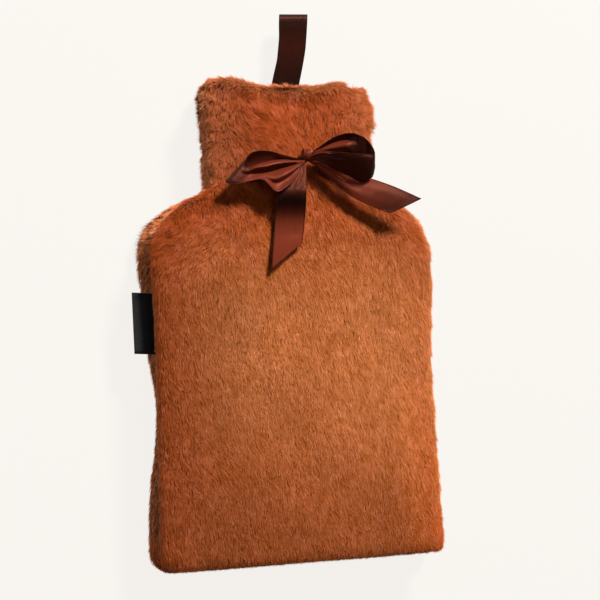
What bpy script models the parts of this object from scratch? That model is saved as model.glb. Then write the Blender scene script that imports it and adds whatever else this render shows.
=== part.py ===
"""A plush faux-fur hot water bottle cover with a satin bow, lying on its back.

The bag is two fur panels, seamed to each other round both sides and the foot and open at the
neck. +Z is the way the front panel faces, +Y runs from the foot to the neck, and the origin is
the middle of the flat of the back panel. Lengths are in millimetres up to the last step, where
each mesh is scaled to metres.
"""

import math

import bmesh
import bpy
import numpy as np

METRES_PER_MM = 0.001
CLEARANCE = 0.3  # between pieces that touch

# The bag's outline, measured at the seam between the two panels
FOOT_Y = -141.3
SHOULDER_Y = 62.0
SHOULDER_RISE = 56.0
SHOULDER_END = math.radians(62.0)  # the turn at which the shoulder runs straight to the neck
NECK_BASE_Y = 118.0
NECK_SQUARE = (124.0, 132.0)  # over this stretch the rows turn square to the neck
NECK_TOP_Y = 196.0
NECK_HALF = 57.0
NECK_FILLET = 13.0  # how softly the shoulder runs into the neck
WAIST_Y = -20.0
WAIST_REACH = 75.0
# side: half width at the foot and at the shoulder, draw-in at the waist, radius of the foot corner
SIDES = {
    -1: {"foot": 98.6, "shoulder": 98.5, "waist": 1.4, "corner": 11.0},
    1: {"foot": 97.2, "shoulder": 99.2, "waist": 4.2, "corner": 4.5},
}
CORNER_GROWTH_OUT = 0.45  # how fast the foot corners' radius grows past the seam
CORNER_GROWTH_IN = 0.45  # and in from it, where that gives the larger radius

# The open end of the neck, by side: its flare, its rounded corner, and the bump of its edge
NECK_FLARE_REACH = 46.0
NECK_BUMP_REACH = 0.24
NECK_DROP_FROM = 0.66
NECK_DROP_TO = 0.88
NECK_LIFT_REACH = 60.0
NECK_ENDS = {
    -1: {"flare": 2.0, "round": 14.0, "draw": 1.0, "bump": 5.0, "bump_at": 0.78, "drop": 0.0},
    1: {"flare": 3.2, "round": 20.0, "draw": 3.0, "bump": 4.5, "bump_at": 0.72, "drop": 3.0},
}

# The section of the bag
SEAM_Z = 24.0
FRONT_DEPTH = 22.0
BACK_DEPTH = SEAM_Z - CLEARANCE / 2  # down to the surface that the back rests on
NECK_FRONT_DEPTH = 17.0
NECK_BACK_DEPTH = 18.5
NECK_THINS_FROM = 84.0
NECK_THINS_TO = 128.0
CROWN = 2.0
CROWN_REACH = 60.0
BACK_CROWN = (118.0, 143.0)  # the back is crowned only past its flat, on the neck
WALL = 6.0  # knitted backing and pile together
SEAM_WALLS = (2.2, 2.2, 6.0, 6.0)  # the same across the seam's allowance and groove, pressed flat
MOUTH_WALLS = (1.4, 1.6, 3.4, 5.2)  # and where the seam ends at the mouth
ALLOWANCE_CLIP = 0.55  # share of the seam allowance that is cut away there
HEM_ROLL = 7.5  # radius of the rolled neck edge
CREASE_Y = 182.0  # the line where the turned-in hem ends
CREASE_REACH = 4.0
CREASE_DEPTH = 1.6
CREASE_FADE = 0.4  # towards the right
NECK_BULGE = 0.7  # the neck's sides bulge less than the body's
NECK_BASE_BULGE = 0.7  # and least where the shoulder turns into the neck
NECK_BASE_REACH = 13.0

# How each panel comes out of the seam: a flat allowance, the groove, then the rounded side.
# (inset from the seam line, rise from the seam plane as a share of the panel's depth)
EDGE_REACH = 24.0
FRONT_EDGE = (
    (7.0, 0.0),
    (0.0, 0.0),
    (-4.5, 0.22),
    (-6.5, 0.53),
    (-4.2, 0.82),
    (3.5, 0.965),
    (12.0, 0.99),
    (EDGE_REACH, 1.0),
)
BACK_EDGE = (
    (7.0, 0.0),
    (0.0, 0.0),
    (-6.5, 0.19),
    (-10.5, 0.48),
    (-8.5, 0.78),
    (0.5, 0.955),
    (11.0, 1.0),
    (EDGE_REACH, 1.0),
)
# The back's bulge at the left and right is lost in part at the waist and full at the shoulder
BACK_PINCH_Y = -40.0
BACK_PINCH_REACH = 44.0
BACK_PINCH = {-1: 0.72, 1: 0.35}
BACK_SWELL_Y = 78.0
BACK_SWELL_REACH = 24.0
BACK_SWELL = 0.24
BACK_NECK_BULGE = 0.5

# Slack in the front: height, wavelength across and along, and phase of each wave
FRONT_SLACK = (
    (0.5, 170.0, 260.0, 0.6),
    (0.4, 95.0, 140.0, 2.1),
    (0.3, 60.0, 90.0, 4.0),
)

# Where the rows of each panel's mesh lie
CORNER_ANGLES = (45.0, 22.5, 0.0)  # degrees round the foot corner
FIRST_ROW_Y = -96.0
BODY_ROWS = 6
SHOULDER_TURNS = (0.0, 17.0, 32.0, 45.0, 55.0, 62.0)
NECK_ROWS = (114.6, 117.4, 120.2, 123.4, 128.0, 136.0, 148.0, 160.0, 170.0, 177.0, 182.0, 186.0)
HEM_TURNS = (0.0, 30.0, 60.0, 90.0)  # degrees over the rolled edge
FOOT_COLUMNS = 9

# Satin ribbon
RIBBON_THICKNESS = 1.0
LABEL_THICKNESS = 1.2

# The hanging loop: a ribbon folded double, leaning to the right.
# (distance past the neck edge, height)
HANGING_LOOP_PATH = (
    (-11.0, 14.6),
    (0.0, 14.4),
    (12.0, 11.4),
    (28.0, 6.0),
    (46.0, 2.6),
    (55.0, 2.6),
    (59.2, 5.8),
    (56.0, 10.2),
    (46.0, 12.8),
    (28.0, 15.2),
    (12.0, 16.9),
    (0.0, 17.4),
    (-11.0, 17.2),
)
HANGING_LOOP_WIDTH = 21.0
HANGING_LOOP_X = 5.2
HANGING_LOOP_LEAN = math.radians(8.5)
HANGING_LOOP_SKEW = math.radians(3.5)  # its fold is squarer to the bag than its lean

# Ribbon pieces of the bow. Each row is a place along the ribbon: its mouth or left edge
# (x, y, z), its other edge (x, y, z), how far it bellies out between them, and its pleats' depth.
BOW_LOOP_LEFT = (
    (2.4, 143.4, 45.6, 2.4, 140.2, 45.0, 0.0, 0.12),
    (-6.0, 143.2, 47.0, -5.0, 135.0, 45.6, 0.0, 0.6),
    (-17.0, 144.6, 49.0, -16.0, 129.0, 47.0, 0.0, 0.8),
    (-29.5, 144.4, 50.5, -28.0, 124.0, 48.0, 0.0, 0.5),
    (-40.5, 136.6, 51.5, -37.0, 118.5, 49.0, -0.5, 0.3),
    (-49.0, 128.0, 52.0, -43.0, 115.8, 50.2, -1.0, 0.2),
    (-53.4, 122.6, 53.6, -46.0, 115.6, 53.2, 0.0, 0.3),
    (-49.0, 124.6, 56.6, -42.0, 116.6, 56.6, 1.2, 0.8),
    (-38.0, 127.8, 59.0, -31.0, 117.6, 58.6, 1.8, 1.3),
    (-26.0, 131.2, 59.4, -22.0, 113.6, 59.4, 2.2, 1.6),
    (-14.0, 133.8, 57.4, -12.5, 114.4, 58.6, 2.6, 1.2),
    (-4.6, 136.6, 54.2, -5.0, 127.4, 54.8, 1.0, 0.3),
    (2.3, 139.6, 50.6, 2.3, 135.8, 50.2, 0.0, 0.15),
)
BOW_LOOP_RIGHT = (
    (12.4, 145.6, 45.9, 12.4, 142.2, 45.3, 0.0, 0.12),
    (18.5, 149.6, 49.6, 19.5, 141.2, 48.6, 0.0, 0.5),
    (26.5, 153.6, 53.2, 28.0, 139.4, 52.2, -0.6, 0.8),
    (36.5, 155.4, 56.6, 38.0, 137.0, 55.8, -1.0, 0.6),
    (46.0, 152.6, 59.6, 46.8, 132.6, 58.8, -0.8, 0.4),
    (51.0, 147.4, 62.6, 51.4, 127.4, 62.0, 0.0, 0.2),
    (52.6, 143.4, 66.2, 52.4, 122.4, 65.4, 0.6, 0.2),
    (49.4, 141.4, 69.6, 48.6, 119.8, 68.0, 1.0, 0.4),
    (42.0, 141.0, 70.0, 41.0, 123.2, 67.4, 0.8, 0.8),
    (31.0, 141.2, 65.6, 31.0, 129.8, 63.0, 0.4, 1.0),
    (21.0, 141.4, 58.6, 21.0, 134.8, 57.0, 0.0, 0.5),
    (12.4, 141.8, 51.2, 12.4, 138.4, 50.8, 0.0, 0.12),
)
BOW_TAIL_LEFT = (
    (3.4, 134.6, 45.2, 8.0, 134.6, 45.2, 0.0, 0.2),
    (-1.2, 129.0, 46.6, 7.6, 129.4, 46.6, 0.6, 0.6),
    (-8.6, 120.4, 48.0, 6.8, 121.4, 48.0, 1.0, 0.8),
    (-15.2, 109.6, 48.6, 5.8, 110.6, 48.6, 0.8, 0.4),
    (-17.6, 97.0, 48.8, 4.2, 98.2, 48.8, 0.4, 0.0),
    (-19.0, 83.0, 49.4, 2.6, 88.6, 49.4, 0.2, 0.0),
    (-20.4, 71.0, 50.0, 1.4, 82.0, 50.0, 0.0, 0.0),
    (-21.8, 59.6, 50.6, 0.2, 76.6, 50.4, 0.0, 0.0),
)
BOW_TAIL_RIGHT = (
    (12.9, 140.0, 45.2, 11.4, 135.6, 44.6, 0.0, 0.2),
    (18.6, 138.8, 46.8, 15.0, 131.8, 45.8, 0.6, 0.6),
    (27.6, 136.2, 49.2, 20.6, 125.8, 47.8, 0.9, 0.8),
    (38.2, 132.0, 51.6, 28.8, 118.4, 50.2, 0.8, 0.4),
    (50.0, 126.0, 53.8, 38.6, 110.8, 52.8, 0.4, 0.0),
    (63.4, 119.2, 56.0, 49.0, 104.6, 55.2, 0.2, 0.0),
    (76.0, 113.0, 58.0, 57.8, 100.8, 57.2, 0.0, 0.0),
    (88.4, 107.6, 60.0, 66.0, 98.0, 59.0, 0.0, 0.0),
)
PLEATS_ACROSS = 2.5  # waves of pleating from edge to edge

KNOT_CENTRE = (7.3, 141.2, 48.6)
KNOT_SIZE = (8.2, 10.6, 9.2)
KNOT_NIP = {"end": 0.18, "face": 0.14}  # how far the wrapped ribbon draws the knot in

# Label: how far each place stands out from the seam, its drop along the bag, and its height
LABEL_TOP_Y = 45.8
LABEL_FOOT_Y = 3.0
LABEL_PATH = (
    (1.3, 0.0, 24.0),
    (5.8, 0.3, 24.1),
    (12.4, 0.7, 24.4),
    (18.9, 1.0, 24.9),
)

# Material: base colour, roughness, sheen
FINISHES = {
    "plush_fur": ((0.43, 0.13, 0.04, 1.0), 0.9, 0.6),
    "satin_ribbon": ((0.055, 0.012, 0.008, 1.0), 0.35, 0.3),
    "woven_label": ((0.012, 0.012, 0.013, 1.0), 0.7, 0.1),
}

for old in list(bpy.data.objects):
    bpy.data.objects.remove(old)

cover = bpy.data.collections.new("hot_water_bottle_cover")
bpy.context.scene.collection.children.link(cover)


def make_material(node, finish):
    """A material of the node's own, in one of the finishes."""
    colour, roughness, sheen = FINISHES[finish]
    material = bpy.data.materials.new(f"{node}_{finish}")
    material.use_nodes = True
    shader = material.node_tree.nodes["Principled BSDF"]
    shader.inputs["Base Color"].default_value = colour
    shader.inputs["Roughness"].default_value = roughness
    shader.inputs["Metallic"].default_value = 0.0
    shader.inputs["Sheen Weight"].default_value = sheen
    material.diffuse_color = colour
    return material


def make_object(node, finish, points, faces):
    """An object of the cover from points in millimetres."""
    mesh = bpy.data.meshes.new(node)
    mesh.from_pydata((np.asarray(points) * METRES_PER_MM).tolist(), [], faces)
    mesh.materials.append(make_material(node, finish))
    mesh.shade_smooth()
    piece = bpy.data.objects.new(node, mesh)
    cover.objects.link(piece)
    return piece


def thicken(piece, thickness, offset):
    """Gives an open surface its thickness."""
    solidify = piece.modifiers.new("thickness", "SOLIDIFY")
    solidify.thickness = thickness * METRES_PER_MM
    solidify.offset = offset
    solidify.use_rim = True
    return solidify


def smooth_step(low, high, value):
    """0 up to low, 1 from high on, and smooth between them."""
    share = min(max((value - low) / (high - low), 0.0), 1.0)
    return share * share * (3.0 - 2.0 * share)


def hump(centre, reach, value):
    """1 at the centre, falling smoothly to nothing a reach or two away."""
    return math.exp(-(((value - centre) / reach) ** 2))


# ---- the outline of the bag at its seam


def neck_half(y, side):
    """Half the neck's width, with its flare and its rounded corner at the open end."""
    end = NECK_ENDS[side]
    flare = smooth_step(NECK_TOP_Y - NECK_FLARE_REACH, NECK_TOP_Y - end["round"], y)
    turn = min(max((y - NECK_TOP_Y) / end["round"] + 1.0, 0.0), 1.0)
    return NECK_HALF + end["flare"] * flare - end["draw"] * turn**2


def body_half(y, side):
    """Half the body's width: nearly straight sides, then a round shoulder."""
    sizes = SIDES[side]
    along = (y - FOOT_Y) / (SHOULDER_Y - FOOT_Y)
    half = sizes["foot"] + (sizes["shoulder"] - sizes["foot"]) * min(along, 1.0)
    half -= sizes["waist"] * hump(WAIST_Y, WAIST_REACH, y)
    inner = NECK_HALF - NECK_FILLET
    turn = min(max((y - SHOULDER_Y) / SHOULDER_RISE, 0.0), math.sin(SHOULDER_END))
    past = max(y - SHOULDER_Y - SHOULDER_RISE * math.sin(SHOULDER_END), 0.0) / SHOULDER_RISE
    return inner + (half - inner) * (math.sqrt(1.0 - turn**2) - past * math.tan(SHOULDER_END))


def seam_half(y, side):
    """Half the bag's width at the seam: the wider of body and neck, blended where they meet."""
    body, neck = body_half(y, side), neck_half(y, side)
    blend = min(max(0.5 + 0.5 * (body - neck) / NECK_FILLET, 0.0), 1.0)
    return neck + (body - neck) * blend + NECK_FILLET * blend * (1.0 - blend)


class SideSpoke:
    """A line in from the seam at one height of one side, square to the seam."""

    def __init__(self, y, side, turn):
        self.y, self.side, self.turn = y, side, turn
        self.half = seam_half(y, side)
        slope = seam_half(y + 0.5, side) - seam_half(y - 0.5, side)
        slope *= 1.0 - smooth_step(*NECK_SQUARE, y)
        self.out = (1.0 / math.hypot(1.0, slope), -slope / math.hypot(1.0, slope))

    def at(self, inset):
        """The place on the line that far in from the seam."""
        return self.side * (self.half - inset * self.out[0]), self.y - inset * self.out[1]


class CornerSpoke:
    """The same round a foot corner: angle is 0 degrees at the side and 90 at the foot."""

    def __init__(self, angle, side):
        self.y, self.side, self.turn = FOOT_Y, side, 0.0
        self.half, self.angle = seam_half(FOOT_Y, side), math.radians(angle)

    def at(self, inset):
        seam_radius = SIDES[self.side]["corner"]
        if inset < 0.0:
            radius = seam_radius - CORNER_GROWTH_OUT * inset
        else:
            radius = max(seam_radius - inset, CORNER_GROWTH_IN * inset)
        back = radius * (1.0 - math.cos(self.angle)), radius * (1.0 - math.sin(self.angle))
        return self.side * (self.half - inset - back[0]), FOOT_Y + inset + back[1]


class FootSpoke:
    """The same along the foot; share runs from the left corner's end to the right's."""

    def __init__(self, share):
        self.share, self.y, self.side, self.turn = share, FOOT_Y, 1, 0.0
        self.ends = CornerSpoke(90.0, -1), CornerSpoke(90.0, 1)

    def at(self, inset):
        (left, y), (right, _) = (end.at(inset) for end in self.ends)
        return left + (right - left) * self.share, y


def side_rows():
    """The rows' y, from the foot corner to the mouth, and the turn of those over the hem."""
    body = np.linspace(FIRST_ROW_Y, SHOULDER_Y, BODY_ROWS)[:-1]
    shoulder = [SHOULDER_Y + SHOULDER_RISE * math.sin(math.radians(a)) for a in SHOULDER_TURNS]
    plain = [(float(y), 0.0) for y in (*body, *shoulder, *NECK_ROWS)]
    return plain + [(NECK_TOP_Y, turn) for turn in HEM_TURNS]


def mouth_lift(x, y):
    """How far the neck edge stands above its middle: a bump near each corner, then the corner."""
    side = -1 if x < 0.0 else 1
    end = NECK_ENDS[side]
    share = min(abs(x) / seam_half(y, side), NECK_DROP_TO)
    corner = end["drop"] * smooth_step(NECK_DROP_FROM, NECK_DROP_TO, share)
    lift = end["bump"] * hump(end["bump_at"], NECK_BUMP_REACH, share) - corner
    return lift * smooth_step(NECK_TOP_Y - NECK_LIFT_REACH, NECK_TOP_Y, y)


# ---- the two fur panels


class Panel:
    """How one fur panel stands off the seam plane: the front above it, the back below."""

    def __init__(self, node, up, edge, body_depth, neck_depth):
        self.node, self.up, self.edge = node, up, edge
        self.body_depth, self.neck_depth = body_depth, neck_depth

    def depth(self, y):
        """How far the panel's face lies from the seam plane."""
        share = smooth_step(NECK_THINS_FROM, NECK_THINS_TO, y)
        return self.body_depth + (self.neck_depth - self.body_depth) * share

    def bulge(self, y, side):
        """How much of the edge's bulge past the seam there is."""
        into_neck = smooth_step(NECK_THINS_FROM, NECK_THINS_TO, y)
        neck = NECK_BULGE if self.up > 0 else BACK_NECK_BULGE
        share = 1.0 + (neck - 1.0) * into_neck
        share *= 1.0 - (1.0 - NECK_BASE_BULGE) * hump(NECK_BASE_Y, NECK_BASE_REACH, y)
        if self.up < 0:
            share *= 1.0 - BACK_PINCH[side] * hump(BACK_PINCH_Y, BACK_PINCH_REACH, y)
            share *= 1.0 + BACK_SWELL * hump(BACK_SWELL_Y, BACK_SWELL_REACH, y)
        return share

    def crown(self, x, y):
        """Height added to the panel's face: its crown, its slack, the crease under the hem."""
        side = -1 if x < 0.0 else 1
        inside = 1.0 - min(abs(x) / seam_half(y, side), 1.0) ** 4
        from_foot = smooth_step(FOOT_Y, FOOT_Y + CROWN_REACH, y)
        crease = CREASE_DEPTH * hump(CREASE_Y, CREASE_REACH, y)
        if self.up < 0:  # flat where it rests
            return CROWN * inside * smooth_step(*BACK_CROWN, y) - crease
        height = CROWN
        for wave, across, along, phase in FRONT_SLACK:
            height += wave * math.sin(math.tau * (x / across + y / along) + phase)
        right = smooth_step(0.0, NECK_HALF, x)
        return height * inside * from_foot - crease * (1.0 - CREASE_FADE * right)

    def lie(self, x, y, rise, turn):
        """Where a place of the panel lies, rise being its share of the panel's depth."""
        height = rise * (self.depth(y) + self.crown(x, y))
        lift = mouth_lift(x, y)
        if y == NECK_TOP_Y:  # over the rolled edge, the section draws in to the neck's middle
            drop = HEM_ROLL * (1.0 - math.cos(math.radians(turn)))
            beside = smooth_step(NECK_HALF - EDGE_REACH, NECK_HALF, abs(x))
            x -= math.copysign(drop * beside, x)
            height -= drop * rise**2
            y -= HEM_ROLL * (1.0 - math.sin(math.radians(turn)))
        return x, y + lift, SEAM_Z + self.up * (CLEARANCE / 2 + height)


def build_panel(panel):
    """One fur panel: a face of rows and columns, and an edge strip round three sides of it."""
    sides = {}
    for side in (-1, 1):
        corner = [CornerSpoke(angle, side) for angle in CORNER_ANGLES]
        sides[side] = corner + [SideSpoke(y, side, turn) for y, turn in side_rows()]
    to_left = [CornerSpoke(90.0 - angle, -1) for angle in CORNER_ANGLES[1:]]
    to_right = [CornerSpoke(90.0 - angle, 1) for angle in CORNER_ANGLES[:0:-1]]
    between = [FootSpoke(share) for share in np.linspace(0.0, 1.0, FOOT_COLUMNS)[1:-1]]
    foot = to_left + between + to_right

    # the face: each row runs from the left edge's inner point to the right's
    across = [spoke.at(EDGE_REACH)[0] for spoke in (sides[-1][0], *foot, sides[1][0])]
    across = (np.array(across) - across[0]) / (across[-1] - across[0])
    points, faces = [], []
    for left, right in zip(sides[-1], sides[1]):
        start, end = np.array(left.at(EDGE_REACH)), np.array(right.at(EDGE_REACH))
        for share in across:
            points.append(panel.lie(*(start + (end - start) * share), 1.0, left.turn))
    wide, high = len(across), len(sides[1])
    for j, column in enumerate(foot, 1):  # the first row curves with the foot's corners
        points[j] = panel.lie(*column.at(EDGE_REACH), 1.0, 0.0)
    for i in range(high - 1):
        for j in range(wide - 1):
            corner = i * wide + j
            faces.append((corner, corner + 1, corner + wide + 1, corner + wide))

    # the edge: down the left, along the foot, up the right
    rim = [i * wide for i in reversed(range(high))] + list(range(1, wide - 1))
    rim += [i * wide + wide - 1 for i in range(high)]
    columns, walls = [], {}
    for spoke, inner in zip(sides[-1][::-1] + foot + sides[1], rim):
        columns.append([len(points) + k for k in range(len(panel.edge) - 1)] + [inner])
        rolled = math.sin(math.radians(spoke.turn))
        for place, (inset, rise) in enumerate(panel.edge[:-1]):
            if inset < 0.0:
                inset *= panel.bulge(spoke.y, spoke.side)
            elif rise == 0.0:  # the allowance is clipped short at the mouth
                inset *= 1.0 - ALLOWANCE_CLIP * rolled
            if place < len(SEAM_WALLS):
                pressed = SEAM_WALLS[place] + (MOUTH_WALLS[place] - SEAM_WALLS[place]) * rolled
                walls[len(points)] = pressed
            points.append(panel.lie(*spoke.at(inset), rise, spoke.turn))
    for before, after in zip(columns, columns[1:]):
        for k in range(len(before) - 1):
            faces.append((before[k], after[k], after[k + 1], before[k + 1]))
    if panel.up < 0:
        faces = [face[::-1] for face in faces]
    fur = make_object(panel.node, "plush_fur", points, faces)
    pile = fur.vertex_groups.new(name="pile")
    for place in range(len(points)):
        pile.add([place], walls.get(place, WALL) / WALL, "REPLACE")
    thicken(fur, WALL, -1.0).vertex_group = pile.name


build_panel(Panel("front_panel", 1, FRONT_EDGE, FRONT_DEPTH, NECK_FRONT_DEPTH))
build_panel(Panel("back_panel", -1, BACK_EDGE, BACK_DEPTH, NECK_BACK_DEPTH))


# ---- satin ribbon: the hanging loop and the bow


def smoothed(rows, steps):
    """Rows of numbers read along a smooth curve through the given rows, steps to each gap."""
    rows = np.asarray(rows, float)
    padded = np.vstack([2 * rows[0] - rows[1], rows, 2 * rows[-1] - rows[-2]])
    out = []
    for i in range(len(rows) - 1):
        before, start, end, after = padded[i : i + 4]
        for step in range(steps):
            t = step / steps
            out.append(
                0.5
                * (
                    2 * start
                    + (end - before) * t
                    + (2 * before - 5 * start + 4 * end - after) * t**2
                    + (3 * start - before - 3 * end + after) * t**3
                )
            )
    return np.array(out + [rows[-1]])


def build_ribbon(node, rows, steps, across, finish="satin_ribbon", thickness=RIBBON_THICKNESS):
    """A strip between two edges, bellied and pleated across its width."""
    table = smoothed(rows, steps)
    edge_a, edge_b, belly, pleat = table[:, 0:3], table[:, 3:6], table[:, 6], table[:, 7]
    along = np.gradient((edge_a + edge_b) / 2, axis=0)
    up = np.cross(along, edge_b - edge_a)
    up /= np.linalg.norm(up, axis=1)[:, None]
    points = []
    for share in np.linspace(0.0, 1.0, across + 1):
        rise = belly * (1.0 - (2.0 * share - 1.0) ** 2)
        rise = rise + pleat * math.sin(math.tau * PLEATS_ACROSS * share)
        points.append(edge_a + (edge_b - edge_a) * share + up * rise[:, None])
    points = np.array(points)
    count = len(table)
    faces = [
        (j * count + i, j * count + i + 1, (j + 1) * count + i + 1, (j + 1) * count + i)
        for j in range(across)
        for i in range(count - 1)
    ]
    ribbon = make_object(node, finish, points.reshape(-1, 3), faces)
    thicken(ribbon, thickness, 0.0)
    return ribbon


def build_hanging_loop():
    """The ribbon doubled on itself, its fold past the neck edge and its ends inside the mouth."""
    across_x = HANGING_LOOP_WIDTH / 2 * math.cos(HANGING_LOOP_SKEW)
    across_y = HANGING_LOOP_WIDTH / 2 * math.sin(HANGING_LOOP_SKEW)
    rows = []
    for past, height in HANGING_LOOP_PATH:
        x = HANGING_LOOP_X + past * math.sin(HANGING_LOOP_LEAN)
        y = NECK_TOP_Y + past * math.cos(HANGING_LOOP_LEAN)
        left, right = (x - across_x, y + across_y, height), (x + across_x, y - across_y, height)
        rows.append((*left, *right, 0.0, 0.0))
    build_ribbon("hanging_loop", rows, 2, 2)


def build_knot():
    """The knot: a rounded cage, pulled in at the sides where the ribbon wraps it."""
    cage = bmesh.new()
    bmesh.ops.create_cube(cage, size=1.0)
    bmesh.ops.subdivide_edges(cage, edges=cage.edges[:], cuts=1, use_grid_fill=True)
    for corner in cage.verts:
        at_end, at_face = abs(corner.co.y) > 0.4, abs(corner.co.z) > 0.4
        corner.co.x *= KNOT_SIZE[0] * (1.0 - KNOT_NIP["end"] * at_end - KNOT_NIP["face"] * at_face)
        corner.co.y *= KNOT_SIZE[1]
        corner.co.z *= KNOT_SIZE[2] * (1.0 - KNOT_NIP["face"] * at_end)
    points = [tuple(np.array(corner.co) + np.array(KNOT_CENTRE)) for corner in cage.verts]
    cage.verts.index_update()
    faces = [[corner.index for corner in face.verts] for face in cage.faces]
    cage.free()
    knot = make_object("bow_knot", "satin_ribbon", points, faces)
    round_off = knot.modifiers.new("round_off", "SUBSURF")
    round_off.levels = 2
    round_off.render_levels = 2


def build_label():
    """The woven label, standing out of the left side seam."""
    rows = []
    for out, up, height in LABEL_PATH:
        top = (-seam_half(LABEL_TOP_Y, -1) - out, LABEL_TOP_Y + up, height)
        foot = (-seam_half(LABEL_FOOT_Y, -1) - out, LABEL_FOOT_Y + up, height)
        rows.append((*top, *foot, 0.0, 0.0))
    build_ribbon("side_label", rows, 2, 4, "woven_label", LABEL_THICKNESS)


build_hanging_loop()
build_ribbon("bow_loop_left", BOW_LOOP_LEFT, 2, 8)
build_ribbon("bow_loop_right", BOW_LOOP_RIGHT, 2, 8)
build_ribbon("bow_tail_left", BOW_TAIL_LEFT, 2, 6)
build_ribbon("bow_tail_right", BOW_TAIL_RIGHT, 2, 6)
build_knot()
build_label()
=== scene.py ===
import math

import bpy
import numpy as np
from mathutils import Matrix


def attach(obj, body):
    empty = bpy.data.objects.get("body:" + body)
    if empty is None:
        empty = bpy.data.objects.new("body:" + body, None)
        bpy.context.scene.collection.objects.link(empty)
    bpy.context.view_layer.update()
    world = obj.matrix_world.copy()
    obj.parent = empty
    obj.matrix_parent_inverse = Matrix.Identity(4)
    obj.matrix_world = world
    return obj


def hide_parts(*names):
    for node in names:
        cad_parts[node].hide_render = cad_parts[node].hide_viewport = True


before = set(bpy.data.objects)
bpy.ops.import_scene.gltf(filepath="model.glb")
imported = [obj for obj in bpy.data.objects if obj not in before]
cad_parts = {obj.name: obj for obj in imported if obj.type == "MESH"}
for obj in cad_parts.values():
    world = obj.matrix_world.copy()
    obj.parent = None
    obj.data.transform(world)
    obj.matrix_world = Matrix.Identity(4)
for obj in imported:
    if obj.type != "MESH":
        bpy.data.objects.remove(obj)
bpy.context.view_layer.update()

# ==== Ground cloth of the fur ===================================================================
# Two panels of knitted ground cloth carry the fur. They are cut to the bottle's outline, seamed
# face to face round both sides and the foot, and turned; the neck edge is turned in as a hem.
# Lengths are in millimetres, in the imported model's frame, until a mesh is made.

METRES_PER_MM = 0.001
CLEARANCE = 0.3
FOOT_Y = -141.3
SHOULDER_Y = 62.0
SHOULDER_RISE = 56.0
SHOULDER_END = math.radians(62.0)
NECK_BASE_Y = 118.0
NECK_SQUARE = (124.0, 132.0)
NECK_TOP_Y = 196.0
NECK_HALF = 57.0
NECK_FILLET = 13.0
WAIST_Y = -20.0
WAIST_REACH = 75.0
SIDES = {
    -1: {"foot": 98.6, "shoulder": 98.5, "waist": 1.4, "corner": 11.0},
    1: {"foot": 97.2, "shoulder": 99.2, "waist": 4.2, "corner": 4.5},
}
CORNER_GROWTH = 0.45
NECK_FLARE_REACH = 46.0
NECK_BUMP_REACH = 0.24
NECK_DROP_FROM = 0.66
NECK_DROP_TO = 0.88
NECK_LIFT_REACH = 60.0
NECK_ENDS = {
    -1: {"flare": 2.0, "round": 14.0, "draw": 1.0, "bump": 5.0, "bump_at": 0.78, "drop": 0.0},
    1: {"flare": 3.2, "round": 20.0, "draw": 3.0, "bump": 4.5, "bump_at": 0.72, "drop": 3.0},
}
SEAM_Z = 24.0
FRONT_DEPTH = 22.0
BACK_DEPTH = SEAM_Z - CLEARANCE / 2
NECK_FRONT_DEPTH = 17.0
NECK_BACK_DEPTH = 18.5
NECK_THINS_FROM = 84.0
NECK_THINS_TO = 128.0
CROWN = 2.0
CROWN_REACH = 60.0
CROWN_FLATNESS = 4
BACK_CROWN = (118.0, 143.0)
HEM_ROLL = 7.5
HEM_TUCK = 12.0  # how far the hem runs back inside
CREASE_Y = 182.0
CREASE_REACH = 4.0
CREASE_DEPTH = 0.8
CREASE_FADE = 0.4
NECK_BULGE = 0.7
NECK_BASE_BULGE = 0.7
NECK_BASE_REACH = 13.0
PILE = 5.0  # how high the fur stands over the ground cloth
BODY_PILE = 3.3  # and on the body, where it lies close
GROUND_THICKNESS = 0.9
ALLOWANCE_CLIP = 0.55

# Each panel's edge, from its seam allowance to its face: inset from the seam, share of the
# panel's depth, height of the pile there, and the same at the mouth
EDGE_REACH = 24.0
FRONT_EDGE = (
    (7.0, 0.0, 1.2, 0.4),
    (0.0, 0.0, 1.2, 0.6),
    (-4.5, 0.22, 5.0, 2.4),
    (-6.5, 0.53, 5.0, 4.2),
    (-4.2, 0.82, 5.0, 5.0),
    (3.5, 0.965, 5.0, 5.0),
    (12.0, 0.99, 5.0, 5.0),
    (EDGE_REACH, 1.0, 5.0, 5.0),
)
BACK_EDGE = (
    (7.0, 0.0, 1.2, 0.4),
    (0.0, 0.0, 1.2, 0.6),
    (-6.5, 0.19, 5.0, 2.4),
    (-10.5, 0.48, 5.0, 4.2),
    (-8.5, 0.78, 5.0, 5.0),
    (0.5, 0.955, 5.0, 5.0),
    (11.0, 1.0, 5.0, 5.0),
    (EDGE_REACH, 1.0, 5.0, 5.0),
)
EDGE_STEPS = 2
BACK_PINCH_Y = -40.0
BACK_PINCH_REACH = 44.0
BACK_PINCH = {-1: 0.72, 1: 0.35}
BACK_SWELL_Y = 78.0
BACK_SWELL_REACH = 24.0
BACK_SWELL = 0.24
BACK_NECK_BULGE = 0.5
FRONT_SLACK = (
    (0.5, 170.0, 260.0, 0.6),
    (0.4, 95.0, 140.0, 2.1),
    (0.3, 60.0, 90.0, 4.0),
)

CORNER_ANGLES = (45.0, 30.0, 15.0, 0.0)
FIRST_ROW_Y = -96.0
FAN_ROWS = 6  # rows between the foot corner and the first square row
BODY_ROWS = 34
SHOULDER_ROWS = 13
NECK_ROWS = 26
HEM_TURNS = (0.0, 15.0, 30.0, 45.0, 60.0, 75.0, 90.0, 110.0, 130.0, 155.0, 180.0)
LAST_ROW_GAP = 2.5  # between the neck's last row and the hem
TUCK_ROWS = 5
FOOT_COLUMNS = 38
FAN_RANGE = (0.8, 3.5)  # how much more fur grows where a bend spreads its tips


def smooth_step(low, high, value):
    """0 up to low, 1 from high on, and smooth between them."""
    share = min(max((value - low) / (high - low), 0.0), 1.0)
    return share * share * (3.0 - 2.0 * share)


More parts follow.
